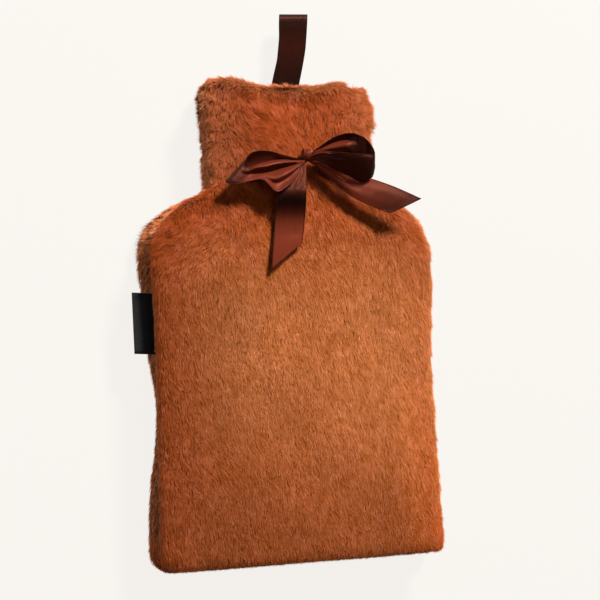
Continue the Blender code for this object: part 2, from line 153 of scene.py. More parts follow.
def hump(centre, reach, value):
    """1 at the centre, falling smoothly to nothing a reach or two away."""
    return math.exp(-(((value - centre) / reach) ** 2))


def smoothed(rows, steps):
    """Rows of numbers read along a smooth curve through the given rows, steps to each gap."""
    rows = np.asarray(rows, float)
    padded = np.vstack([2 * rows[0] - rows[1], rows, 2 * rows[-1] - rows[-2]])
    out = []
    for i in range(len(rows) - 1):
        before, start, end, after = padded[i : i + 4]
        for step in range(steps):
            t = step / steps
            square = (2 * before - 5 * start + 4 * end - after) * t**2
            cube = (3 * start - before - 3 * end + after) * t**3
            out.append(0.5 * (2 * start + (end - before) * t + square + cube))
    return np.array(out + [rows[-1]])


def neck_half(y, side):
    """Half the neck's width, with its flare and its rounded corner at the open end."""
    end = NECK_ENDS[side]
    flare = smooth_step(NECK_TOP_Y - NECK_FLARE_REACH, NECK_TOP_Y - end["round"], y)
    turn = min(max((y - NECK_TOP_Y) / end["round"] + 1.0, 0.0), 1.0)
    return NECK_HALF + end["flare"] * flare - end["draw"] * turn**2


def body_half(y, side):
    """Half the body's width: nearly straight sides, then a round shoulder."""
    sizes = SIDES[side]
    along = (y - FOOT_Y) / (SHOULDER_Y - FOOT_Y)
    half = sizes["foot"] + (sizes["shoulder"] - sizes["foot"]) * min(along, 1.0)
    half -= sizes["waist"] * hump(WAIST_Y, WAIST_REACH, y)
    inner = NECK_HALF - NECK_FILLET
    turn = min(max((y - SHOULDER_Y) / SHOULDER_RISE, 0.0), math.sin(SHOULDER_END))
    past = max(y - SHOULDER_Y - SHOULDER_RISE * math.sin(SHOULDER_END), 0.0) / SHOULDER_RISE
    return inner + (half - inner) * (math.sqrt(1.0 - turn**2) - past * math.tan(SHOULDER_END))


def seam_half(y, side):
    """Half the bag's width at the seam: the wider of body and neck, blended where they meet."""
    body, neck = body_half(y, side), neck_half(y, side)
    blend = min(max(0.5 + 0.5 * (body - neck) / NECK_FILLET, 0.0), 1.0)
    return neck + (body - neck) * blend + NECK_FILLET * blend * (1.0 - blend)


class SideSpoke:
    """A line in from the seam at one height of one side, square to the seam."""

    def __init__(self, y, side, turn=None, tuck=0.0):
        self.y, self.side, self.turn, self.tuck = y, side, turn, tuck
        self.half = seam_half(y, side)
        slope = seam_half(y + 0.5, side) - seam_half(y - 0.5, side)
        slope *= 1.0 - smooth_step(*NECK_SQUARE, y)
        self.out = (1.0 / math.hypot(1.0, slope), -slope / math.hypot(1.0, slope))

    def at(self, inset):
        return self.side * (self.half - inset * self.out[0]), self.y - inset * self.out[1]


class CornerSpoke:
    """The same round a foot corner: angle is 0 degrees at the side and 90 at the foot."""

    def __init__(self, angle, side):
        self.y, self.side, self.turn, self.tuck = FOOT_Y, side, None, 0.0
        self.half, self.angle = seam_half(FOOT_Y, side), math.radians(angle)

    def at(self, inset):
        seam_radius = SIDES[self.side]["corner"]
        if inset < 0.0:
            radius = seam_radius - CORNER_GROWTH * inset
        else:
            radius = max(seam_radius - inset, CORNER_GROWTH * inset)
        back = radius * (1.0 - math.cos(self.angle)), radius * (1.0 - math.sin(self.angle))
        return self.side * (self.half - inset - back[0]), FOOT_Y + inset + back[1]


class BetweenSpoke:
    """A line between two other spokes, a share of the way from the first to the second."""

    def __init__(self, first, second, share):
        self.first, self.second, self.share = first, second, share
        self.y = first.y + (second.y - first.y) * share
        self.side, self.turn, self.tuck = first.side, None, 0.0

    def at(self, inset):
        (x0, y0), (x1, y1) = self.first.at(inset), self.second.at(inset)
        return x0 + (x1 - x0) * self.share, y0 + (y1 - y0) * self.share


def side_spokes(side):
    """The spokes up one side: round the foot corner, to the mouth, over the hem and inside."""
    spokes = [CornerSpoke(angle, side) for angle in CORNER_ANGLES]
    first_row = SideSpoke(FIRST_ROW_Y, side)
    fan = np.linspace(0.0, 1.0, FAN_ROWS + 1)[1:-1]
    spokes += [BetweenSpoke(spokes[-1], first_row, float(share)) for share in fan]
    turns = np.linspace(0.0, SHOULDER_END, SHOULDER_ROWS)
    rows = list(np.linspace(FIRST_ROW_Y, SHOULDER_Y, BODY_ROWS)[:-1])
    rows += [SHOULDER_Y + SHOULDER_RISE * math.sin(turn) for turn in turns]
    rows += list(np.linspace(rows[-1], NECK_TOP_Y - HEM_ROLL - LAST_ROW_GAP, NECK_ROWS)[1:])
    spokes += [SideSpoke(float(y), side) for y in rows]
    spokes += [SideSpoke(NECK_TOP_Y, side, turn) for turn in HEM_TURNS]
    tucks = np.linspace(0.0, HEM_TUCK, TUCK_ROWS)[1:]
    return spokes + [SideSpoke(NECK_TOP_Y, side, HEM_TURNS[-1], float(tuck)) for tuck in tucks]


def side_of(x):
    return -1 if x < 0.0 else 1


def from_seam(x, y):
    """How far a place lies outside the seam, and below zero inside it."""
    return abs(x) - seam_half(y, side_of(x))


def mouth_lift(x, y):
    """How far the neck edge stands above its middle: a bump near each corner, then the corner."""
    end = NECK_ENDS[side_of(x)]
    share = min(abs(x) / seam_half(y, side_of(x)), NECK_DROP_TO)
    corner = end["drop"] * smooth_step(NECK_DROP_FROM, NECK_DROP_TO, share)
    lift = end["bump"] * hump(end["bump_at"], NECK_BUMP_REACH, share) - corner
    return lift * smooth_step(NECK_TOP_Y - NECK_LIFT_REACH, NECK_TOP_Y, y)


# How the fur stands and lies. An X or a Y with two numbers says where a change starts and where
# it is whole, or gives the middle and the reach of a hump. A slant is sideways for each step down.
STAND_PROBE = 5.0
STAND_AT_MOUTH = 0.8
STAND_RISE = (0.05, 0.45)
SHOULDER_LAID = 0.6  # how much less it stands off the shoulders
SHOULDER_LAID_Y = (88.0, 24.0)
FOOT_TUCK = 0.45
FOOT_TUCK_REACH = 30.0
BODY_SLANT = 0.12
NECK_SLANT_Y = (112.0, 140.0)
NECK_SLANT_X = (-30.0, 55.0)
NECK_SLANT = 0.55
NECK_SLANT_FALL = 0.80  # from the left of the neck to its right
MOUTH_SLANT = 1.1
MOUTH_SLANT_Y = (195.0, 12.0)
MOUTH_PARTING_X = (-25.0, 25.0)
MOUTH_LEFT = 0.3
MOUTH_RIGHT = 0.4
MOUTH_BACK = 0.3
SHOULDER_SLANT_Y = (88.0, 26.0)
LEFT_SHOULDER_X = (-35.0, -75.0)
LEFT_SHOULDER_SLANT = 0.95
LEFT_SHOULDER_DOWN = 0.55
RIGHT_SHOULDER_X = (45.0, 80.0)
RIGHT_SHOULDER_SLANT = 0.30
SHOULDER_BACK = 0.35
SHOULDER_BACK_Y = (98.0, 20.0)
SHOULDER_BACK_RISE = (0.5, 0.9)
EDGE_SLANT = 0.25
EDGE_SLANT_IN = (-30.0, 0.0)
EDGE_SLANT_Y = (100.0, 125.0)

# How shaggy, loose, long and dense it is. A rise is a share of the way from the seam to the face.
SHAG_BODY = 0.15
SHAG_NECK = 0.75
SHAG_NECK_Y = (40.0, 120.0)
SHAG_EDGE = 0.35
SHAG_EDGE_SHARE = (0.72, 1.0)
PILE_SHAG = (0.3, 0.8)
LOOSE_LEFT_RISE = (0.3, 0.6)
LOOSE_RISE = (0.7, 0.97)
LOOSE_NECK_Y = 125.0
LOOSE_FOOT = (8.0, 30.0)
RIM_LOOSE = 0.35
RIM_IN = (-26.0, -4.0)
RIM_Y = (118.0, 140.0)
MOUTH_LOOSE = 0.75
SEAM_HAIR = (4.2, 7.0)  # its length beside the seam, on the body and on the neck
SEAM_HAIR_Y = (112.0, 130.0)
SEAM_HAIR_RISE = (0.3, 0.8)
SHOULDER_HAIR = 1.6
SHOULDER_HAIR_Y = (92.0, 20.0)
BROW_HAIR = 2.0  # along the left shoulder's front ridge
BROW_RISE = (0.5, 0.8)
BROW_Y = (90.0, 22.0)
BROW_X = (-55.0, -75.0)
HEM_HAIR = (3.0, 5.0)  # at the seam and at the face
HEM_HAIR_TURN = 75.0
HEM_LINING_SHARE = 0.4
FOOT_TRIM = 0.5  # how much of it is worn and pressed away along the foot
FOOT_TRIM_SPAN = (-6.0, 10.0)
FOOT_TRIM_RISE = (0.8, 0.99)
THICK_SHOULDER = 0.9
THICK_SHOULDER_Y = (96.0, 20.0)
THICK_SHOULDER_RISE = (0.8, 0.99)
THICK_MOUTH = 0.6

# Painted sheen: a pool of painted light on the fur, in patches: share, X hump and Y hump; then
# painted shade and painted light on the fur's colour by place.
PAINTED_SHEEN_LEAST = 0.12
PAINTED_SHEEN_PATCHES = ((0.88, (56.0, 84.0), (2.0, 90.0)), (0.55, (-40.0, 34.0), (12.0, 62.0)))
# painted shade down the left side and at the foot, painted light at the right and on the left
# wall's loose fur
PAINTED_SHADE_LEFT = 0.13
PAINTED_SHADE_LEFT_X = (-15.0, -60.0)
PAINTED_SHADE_LEFT_NECK = 0.12
PAINTED_SHADE_LEFT_NECK_Y = (105.0, 130.0)
PAINTED_SHADE_SHOULDER_LESS = 0.6
PAINTED_SHADE_SHOULDER_Y = (80.0, 24.0)
PAINTED_SHADE_FOOT = 0.10
PAINTED_SHADE_FOOT_X = (10.0, 55.0)
PAINTED_SHADE_FOOT_Y = (-80.0, -120.0)
PAINTED_LIGHT_RIGHT = 0.22
PAINTED_LIGHT_RIGHT_X = (58.0, 85.0)
PAINTED_LIGHT_RIGHT_Y = (10.0, -75.0)
PAINTED_LIGHT_WALL = 0.30
PAINTED_LIGHT_WALL_X = (-30.0, -60.0)
PAINTED_LIGHT_WALL_Y = (70.0, 115.0)


class Panel:
    """How one fur panel stands off the seam plane: the front above it, the back below."""

    def __init__(self, up, edge, body_depth, neck_depth):
        self.up, self.edge = up, smoothed(edge, EDGE_STEPS)
        self.body_depth, self.neck_depth = body_depth, neck_depth

    def depth(self, y):
        share = smooth_step(NECK_THINS_FROM, NECK_THINS_TO, y)
        return self.body_depth + (self.neck_depth - self.body_depth) * share

    def bulge(self, y, side):
        into_neck = smooth_step(NECK_THINS_FROM, NECK_THINS_TO, y)
        neck = NECK_BULGE if self.up > 0 else BACK_NECK_BULGE
        share = 1.0 + (neck - 1.0) * into_neck
        share *= 1.0 - (1.0 - NECK_BASE_BULGE) * hump(NECK_BASE_Y, NECK_BASE_REACH, y)
        if self.up < 0:
            share *= 1.0 - BACK_PINCH[side] * hump(BACK_PINCH_Y, BACK_PINCH_REACH, y)
            share *= 1.0 + BACK_SWELL * hump(BACK_SWELL_Y, BACK_SWELL_REACH, y)
        return share

    def crown(self, x, y):
        inside = 1.0 - min(abs(x) / seam_half(y, side_of(x)), 1.0) ** CROWN_FLATNESS
        from_foot = smooth_step(FOOT_Y, FOOT_Y + CROWN_REACH, y)
        crease = CREASE_DEPTH * hump(CREASE_Y, CREASE_REACH, y)
        if self.up < 0:
            return CROWN * inside * smooth_step(*BACK_CROWN, y) - crease
        height = CROWN
        for wave, across, along, phase in FRONT_SLACK:
            height += wave * math.sin(math.tau * (x / across + y / along) + phase)
        right = smooth_step(0.0, NECK_HALF, x)
        return height * inside * from_foot - crease * (1.0 - CREASE_FADE * right)

    def lie(self, x, y, rise, spoke):
        """Where the fur's surface lies at a place of the panel."""
        height = rise * (self.depth(y) + self.crown(x, y))
        lift = mouth_lift(x, y)
        if spoke.turn is not None:
            turn = math.radians(spoke.turn)
            drop = HEM_ROLL * (1.0 - math.cos(turn))
            beside = smooth_step(NECK_HALF - EDGE_REACH, NECK_HALF, abs(x))
            x -= math.copysign(drop * beside, x)
            height -= drop * rise**2
            y -= HEM_ROLL * (1.0 - math.sin(turn)) + spoke.tuck
        return x, y + lift, SEAM_Z + self.up * (CLEARANCE / 2 + height)

    def stand(self, spoke, rise):
        """The way the fur stands at the panel's edge, where it hides the seam."""
        (x0, y0), (x1, y1) = spoke.at(STAND_PROBE), spoke.at(0.0)
        turn = math.radians(min(spoke.turn or 0.0, 90.0))
        outward = np.array((x1 - x0, y1 - y0, 0.0)) * math.cos(turn)
        outward = outward / max(np.linalg.norm(outward), 1e-6)
        outward = outward + (0.0, STAND_AT_MOUTH * math.sin(turn), 0.0)
        laid = SHOULDER_LAID * hump(*SHOULDER_LAID_Y, y0)
        return outward * (1.0 - laid) * (1.0 - smooth_step(*STAND_RISE, rise))

    def nap(self, x, y, spoke, rise):
        """The way the fur lies: down to the foot, aslant on the neck, outward on the shoulders."""
        on_neck = smooth_step(*NECK_SLANT_Y, y)
        shoulder = hump(*SHOULDER_SLANT_Y, y)
        swept_left = shoulder * smooth_step(*LEFT_SHOULDER_X, x)
        parted = smooth_step(*MOUTH_PARTING_X, x)
        aslant = BODY_SLANT
        aslant += on_neck * (NECK_SLANT - NECK_SLANT_FALL * smooth_step(*NECK_SLANT_X, x))
        aslant -= MOUTH_SLANT * hump(*MOUTH_SLANT_Y, y) * (1.0 - parted)
        aslant -= LEFT_SHOULDER_SLANT * swept_left
        aslant += RIGHT_SHOULDER_SLANT * shoulder * smooth_step(*RIGHT_SHOULDER_X, x)
        edge = smooth_step(*EDGE_SLANT_IN, from_seam(x, y)) * smooth_step(*EDGE_SLANT_Y, y)
        aslant += (EDGE_SLANT * side_of(x) - aslant) * edge

        # over the mouth's roll it parts to both sides and leans back
        turn = math.radians(spoke.turn or 0.0)
        over = math.sin(turn)
        sideways = (MOUTH_LEFT + MOUTH_RIGHT) * parted - MOUTH_LEFT
        down = -math.cos(turn) * (1.0 - LEFT_SHOULDER_DOWN * swept_left)
        ridge = hump(*SHOULDER_BACK_Y, y) * (1.0 - smooth_step(*SHOULDER_BACK_RISE, rise))
        back = MOUTH_BACK * over + SHOULDER_BACK * ridge
        foot = FOOT_TUCK * (1.0 - smooth_step(FOOT_Y, FOOT_Y + FOOT_TUCK_REACH, y))
        return aslant + sideways * over, down, -back - self.up * foot

    def shag(self, x, y):
        """How long and tufted the fur is: most on the neck, the shoulders and the edges."""
        neck = smooth_step(*SHAG_NECK_Y, y)
        edge = smooth_step(*SHAG_EDGE_SHARE, abs(x) / seam_half(y, side_of(x)))
        return min(1.0, SHAG_BODY + SHAG_NECK * neck + SHAG_EDGE * edge)

    def loose(self, x, y, rise, spoke):
        """How loosely the fur stands: at the edges, round the neck's rim and over the mouth."""
        settled = LOOSE_RISE if x > 0.0 or y > LOOSE_NECK_Y else LOOSE_LEFT_RISE
        at_edge = 1.0 - smooth_step(*settled, rise)
        at_edge *= smooth_step(FOOT_Y + LOOSE_FOOT[0], FOOT_Y + LOOSE_FOOT[1], y)
        rim = smooth_step(*RIM_IN, from_seam(x, y)) * smooth_step(*RIM_Y, y)
        over = math.sin(math.radians(spoke.turn or 0.0))
        return max(at_edge, RIM_LOOSE * rim, MOUTH_LOOSE * over)

    def hair(self, x, y, rise, pile, spoke, inset):
        """How long the fur is: longer beside the seam, short in the hem and along the foot."""
        beside = SEAM_HAIR[0] + (SEAM_HAIR[1] - SEAM_HAIR[0]) * smooth_step(*SEAM_HAIR_Y, y)
        beside += SHOULDER_HAIR * hump(*SHOULDER_HAIR_Y, y)
        hair = pile + (max(beside, pile) - pile) * (1.0 - smooth_step(*SEAM_HAIR_RISE, rise))
        if inset != 0.0:
            brow = smooth_step(*BROW_RISE, rise) * hump(*BROW_Y, y) * smooth_step(*BROW_X, x)
            hair += BROW_HAIR * brow
        if spoke.turn is not None:
            most = HEM_HAIR[0] + (HEM_HAIR[1] - HEM_HAIR[0]) * rise
            hair = min(hair, most) if spoke.turn <= HEM_HAIR_TURN else HEM_LINING_SHARE * pile
        start, end = FOOT_TRIM_SPAN
        trimmed = FOOT_TRIM * (1.0 - smooth_step(FOOT_Y + start, FOOT_Y + end, y))
        return hair * (1.0 - trimmed * (1.0 - smooth_step(*FOOT_TRIM_RISE, rise)))

    def cover(self, y, rise, spoke, inset):
        """How densely the fur grows: not on the seam allowance, most on the shoulders' edges."""
        if inset > 0.0 and rise <= 0.0:
            return 0.0
        edge = 1.0 - smooth_step(*THICK_SHOULDER_RISE, rise)
        over = math.sin(math.radians(spoke.turn or 0.0))
        return 1.0 + THICK_SHOULDER * hump(*THICK_SHOULDER_Y, y) * edge + THICK_MOUTH * over

    def painted_sheen(self, x, y):
        """Painted sheen, a pool of painted light on the fur: most on the right of the body, least
        on the neck.
        """
        bright = sum(most * hump(*across, x) * hump(*up, y) for most, across, up in PAINTED_SHEEN_PATCHES)
        return min(1.0, PAINTED_SHEEN_LEAST + bright)

    def painted_shading(self, x, y, loose):
        """Painted shade and painted light: darker down the left side and the foot, lighter at the
        right and on the left wall's loose fur.
        """
        left = smooth_step(*PAINTED_SHADE_LEFT_X, x)
        left *= PAINTED_SHADE_LEFT + PAINTED_SHADE_LEFT_NECK * smooth_step(*PAINTED_SHADE_LEFT_NECK_Y, y)
        left *= 1.0 - PAINTED_SHADE_SHOULDER_LESS * hump(*PAINTED_SHADE_SHOULDER_Y, y)
        foot = PAINTED_SHADE_FOOT * smooth_step(*PAINTED_SHADE_FOOT_Y, y) * hump(*PAINTED_SHADE_FOOT_X, x)
        right = PAINTED_LIGHT_RIGHT * smooth_step(*PAINTED_LIGHT_RIGHT_X, x) * smooth_step(*PAINTED_LIGHT_RIGHT_Y, y)
        wall = PAINTED_LIGHT_WALL * loose * smooth_step(*PAINTED_LIGHT_WALL_X, x) * smooth_step(*PAINTED_LIGHT_WALL_Y, y)
        return 1.0 - left - foot + right + wall


def ground_cloth(name, panel):
    """The ground cloth of a panel: a face of rows and columns, and an edge round three sides."""
    sides = {side: side_spokes(side) for side in (-1, 1)}
    to_left = [CornerSpoke(90.0 - angle, -1) for angle in CORNER_ANGLES[1:]]
    to_right = [CornerSpoke(90.0 - angle, 1) for angle in CORNER_ANGLES[:0:-1]]
    shares = np.linspace(0.0, 1.0, FOOT_COLUMNS)[1:-1]
    foot = to_left + [BetweenSpoke(to_left[-1], to_right[0], float(s)) for s in shares] + to_right

    across = [spoke.at(EDGE_REACH)[0] for spoke in (sides[-1][0], *foot, sides[1][0])]
    across = (np.array(across) - across[0]) / (across[-1] - across[0])
    points, faces, piles = [], [], []
    words = ("nap", "stand", "pile", "cover", "loose", "shag", "painted_sheen", "painted_shading")
    fields = {word: [] for word in words}

    def place(x, y, rise, pile, spoke, inset=0.0):
        shag, loose = panel.shag(x, y), panel.loose(x, y, rise, spoke)
        pile = min(pile, BODY_PILE + (PILE - BODY_PILE) * smooth_step(*PILE_SHAG, shag))
        points.append(panel.lie(x, y, rise, spoke))
        piles.append(pile)
        fields["nap"].append(panel.nap(x, y, spoke, rise))
        fields["stand"].append(panel.stand(spoke, rise))
        fields["pile"].append(panel.hair(x, y, rise, pile, spoke, inset) * METRES_PER_MM)
        fields["cover"].append(panel.cover(y, rise, spoke, inset))
        fields["loose"].append(loose)
        fields["shag"].append(shag)
        fields["painted_sheen"].append(panel.painted_sheen(x, y))
        fields["painted_shading"].append(panel.painted_shading(x, y, loose))

    for left, right in zip(sides[-1], sides[1]):
        start, end = np.array(left.at(EDGE_REACH)), np.array(right.at(EDGE_REACH))
        for share in across:
            place(*(start + (end - start) * share), 1.0, PILE, left)
    wide, high = len(across), len(sides[1])
    for j, column in enumerate(foot, 1):
        points[j] = panel.lie(*column.at(EDGE_REACH), 1.0, column)
    for i in range(high - 1):
        for j in range(wide - 1):
            corner = i * wide + j
            faces.append((corner, corner + 1, corner + wide + 1, corner + wide))

    rim = [i * wide for i in reversed(range(high))] + list(range(1, wide - 1))
    rim += [i * wide + wide - 1 for i in range(high)]
    columns = []
    for spoke, inner in zip(sides[-1][::-1] + foot + sides[1], rim):
        columns.append([len(points) + k for k in range(len(panel.edge) - 1)] + [inner])
        rolled = math.sin(math.radians(min(spoke.turn or 0.0, 90.0)))
        for inset, rise, pile, mouth_pile in panel.edge[:-1]:
            if inset < 0.0:
                inset *= panel.bulge(spoke.y, spoke.side)
            elif rise <= 0.0:
                inset *= 1.0 - ALLOWANCE_CLIP * rolled
            x, y = spoke.at(inset)
            pile = min(pile + (mouth_pile - pile) * rolled, PILE)
            place(x, y, max(rise, 0.0), pile, spoke, inset)
    for before, after in zip(columns, columns[1:]):
        for k in range(len(before) - 1):
            faces.append((before[k], after[k], after[k + 1], before[k + 1]))
    if panel.up < 0:
        faces = [face[::-1] for face in faces]

    # the cloth lies one pile height under the fur's surface
    mesh = bpy.data.meshes.new(name)
    mesh.from_pydata((np.array(points) * METRES_PER_MM).tolist(), [], faces)
    normals = np.array([normal.vector for normal in mesh.vertex_normals])
    sunk = np.array(points) - normals * np.array(piles)[:, None]
    outer = np.array([face.area for face in mesh.polygons])
    mesh.vertices.foreach_set("co", (sunk * METRES_PER_MM).ravel())
    mesh.update()

    # on an outward bend the tips fan out, so more fur grows there
    inner = np.array([face.area for face in mesh.polygons])
    fan, met = np.zeros(len(points)), np.zeros(len(points))
    ratios = np.clip(outer / np.maximum(inner, 1e-12), *FAN_RANGE)
    for face, ratio in zip(mesh.polygons, ratios):
        for corner in face.vertices:
            fan[corner] += ratio
            met[corner] += 1.0
    fields["cover"] = np.array(fields["cover"]) * fan / np.maximum(met, 1.0)
    for word, values in fields.items():
        kind, field = ("FLOAT_VECTOR", "vector") if word in ("nap", "stand") else ("FLOAT", "value")
        mesh.attributes.new(word, kind, "POINT").data.foreach_set(field, np.ravel(values))
    mesh.shade_smooth()
    cloth = bpy.data.objects.new(name, mesh)
    bpy.context.scene.collection.objects.link(cloth)
    return cloth


def add_node(tree, kind, values=None, **settings):
    """A node of the tree, with its own settings, then its input sockets' values or links."""
    node = tree.nodes.new(kind)
    for name, value in settings.items():
        setattr(node, name, value)
    for socket, value in (values or {}).items():
        if isinstance(value, bpy.types.NodeSocket):
            tree.links.new(value, node.inputs[socket])
        else:
            node.inputs[socket].default_value = value
    return node


def new_material(name, flat_colour, **constants):
    """A material with a plain shader, whose constant values are set on its own sockets."""
    material = bpy.data.materials.new(name)
    material.use_nodes = True
    material.diffuse_color = (*flat_colour, 1.0)
    shader = material.node_tree.nodes["Principled BSDF"]
    for socket, value in constants.items():
        shader.inputs[socket.replace("_", " ")].default_value = value
    return material, material.node_tree, shader


def number_math(tree, operation, *values):
    """The number that an operation on numbers gives."""
    node = add_node(tree, "ShaderNodeMath", dict(enumerate(values)), operation=operation)
    return node.outputs[0]


def noise(tree, place, scale, detail=2.0):
    values = {"Vector": place, "Scale": scale, "Detail": detail}
    return add_node(tree, "ShaderNodeTexNoise", values).outputs


def waves(tree, place, axis, scale, wander, detail):
    """Even bands square to an axis, a little wavy."""
    values = {"Vector": place, "Scale": scale, "Distortion": wander, "Detail": detail}
    return add_node(tree, "ShaderNodeTexWave", values, bands_direction=axis).outputs["Fac"]


def rescaled(tree, value, given=(0.0, 1.0), wanted=(0.0, 1.0)):
    """A value carried over from one range to another, and kept inside it."""
    ends = {"From Min": given[0], "From Max": given[1], "To Min": wanted[0], "To Max": wanted[1]}
    return add_node(tree, "ShaderNodeMapRange", {"Value": value, **ends}).outputs[0]


def blend(tree, share, first, second):
    """A colour a share of the way from the first to the second."""
    ends = [(*end, 1.0) if isinstance(end, tuple) else end for end in (first, second)]
    node = add_node(tree, "ShaderNodeMix", {0: share, 6: ends[0], 7: ends[1]}, data_type="RGBA")
    return node.outputs[2]


def raised(tree, height, strength, distance):
    """The normal of a surface with this relief."""
    values = {"Height": height, "Strength": strength, "Distance": distance}
    return add_node(tree, "ShaderNodeBump", values).outputs["Normal"]


def feed(tree, shader, **sockets):
    """Links each named socket of the shader to what makes its value."""
    for name, made in sockets.items():
        tree.links.new(made, shader.inputs[name.replace("_", " ")])


def make_cross_weave():
    """A shader group: threads one way and across it, as on knitted and woven cloth."""
    tree = bpy.data.node_groups.new("cross_weave", "ShaderNodeTree")
    tree.interface.new_socket("Place", in_out="INPUT", socket_type="NodeSocketVector")
    for word in ("Across", "Along", "Wander"):
        tree.interface.new_socket(word, in_out="INPUT", socket_type="NodeSocketFloat")
    tree.interface.new_socket("Threads", in_out="OUTPUT", socket_type="NodeSocketFloat")
    given = tree.nodes.new("NodeGroupInput").outputs
    ways = [
        waves(tree, given["Place"], axis, given[way], given["Wander"], 1.0)
        for way, axis in (("Across", "X"), ("Along", "Y"))
    ]
    crossed = number_math(tree, "MULTIPLY", *ways)
    tree.links.new(crossed, tree.nodes.new("NodeGroupOutput").inputs["Threads"])
    return tree


cross_weave = make_cross_weave()


def threads(tree, place, across, along, wander):
    """The cross weave's threads; across and along are the scales of its two wave textures."""
    values = {"Place": place, "Across": across, "Along": along, "Wander": wander}
    return add_node(tree, "ShaderNodeGroup", node_tree=cross_weave, values=values).outputs[0]


# The knit's ribs run down the bag and its rows of loops across it, worn duller in places. Its dark
# colour is partly painted shade, seen in the gaps between the tufts.
knit, tree, shader = new_material(
    "knitted_ground", (0.20, 0.07, 0.03), Roughness=0.95, Specular_IOR_Level=0.2
)
place = add_node(tree, "ShaderNodeTexCoord").outputs["Object"]
stitch = threads(tree, place, 420.0, 520.0, 1.6)
cloth_colour = blend(tree, stitch, (0.11, 0.026, 0.007), (0.26, 0.072, 0.020))
worn = blend(tree, noise(tree, place, 60.0, 3.0)["Fac"], cloth_colour, (0.16, 0.040, 0.011))
feed(tree, shader, Base_Color=worn, Normal=raised(tree, stitch, 0.5, 0.0003))

front_ground = ground_cloth("front_ground", Panel(1, FRONT_EDGE, FRONT_DEPTH, NECK_FRONT_DEPTH))
back_ground = ground_cloth("back_ground", Panel(-1, BACK_EDGE, BACK_DEPTH, NECK_BACK_DEPTH))

# ==== Fur pile ==================================================================================
# Faux fur: dense crimped fibres, dark at the root and bright at the tip, laid down towards the
# foot; the dark roots are partly painted shade deep in the pile. They lie close on the body and
# stand longer and in tufts on the neck and the shoulders.
# Each panel's fur is grown from its ground cloth as bent blades, a few fibres to a blade.

FUR_INPUTS = (
    ("Ground", "Geometry", None),
    ("Density", "Float", 1e6),
    ("Blade", "Object", None),
    ("Height", "Float", 1.0),
    ("Sweep", "Float", 1.0),
    ("Width", "Float", 0.0005),
    ("Tuft Size", "Float", 0.004),
    ("Tuft Pull", "Float", 0.5),
    ("Bend", "Float", 0.6),
    ("Face Up", "Float", 0.9),
    ("Seed", "Int", 1),
    ("Material", "Material", None),
)
# A pair named by shag gives the value on close fur and how much more it is on shaggy fur.
SLOW_SWIRLS = 24.0
QUICK_SWIRLS = 110.0
QUICK_SHARE = 0.55
WILD_BY_SHAG = (0.9, 2.2)
STRAY = 0.3
TUFT_STRETCH = (1.0, 0.62, 1.0)  # a tuft is longer down the bag than across it
COARSE_TUFTS = 1.5
COARSE_SHAG = (0.45, 0.75)
PULL_BY_SHAG = (0.4, 0.75)
HEIGHT_RANGE = (0.78, 1.06)
SWEEP_RANGE = (0.75, 1.25)
WIDTH_RANGE = (0.6, 1.3)
UNEVEN_SCALE = 75.0
UNEVEN_MIDDLE = 0.95
UNEVEN_BY_SHAG = (0.2, 0.5)
RAGGED = 0.7
SWEEP_BY_SHAG = (1.75, -0.45)
SWEEP_BY_LOOSE = -0.6
FACE_STRAY = 1.2
TONE_OF_TUFT = 0.5
ROUND_OFF = -0.5
SKY_SHARE = 0.6
LOWEST_TIP = 0.0004


def vector_math(tree, operation, *values):
    """The vector or number that an operation on vectors gives."""
    slots = (0, 3) if operation == "SCALE" else range(len(values))
    node = add_node(tree, "ShaderNodeVectorMath", dict(zip(slots, values)), operation=operation)
    return node.outputs[1 if operation in ("DOT_PRODUCT", "LENGTH") else 0]


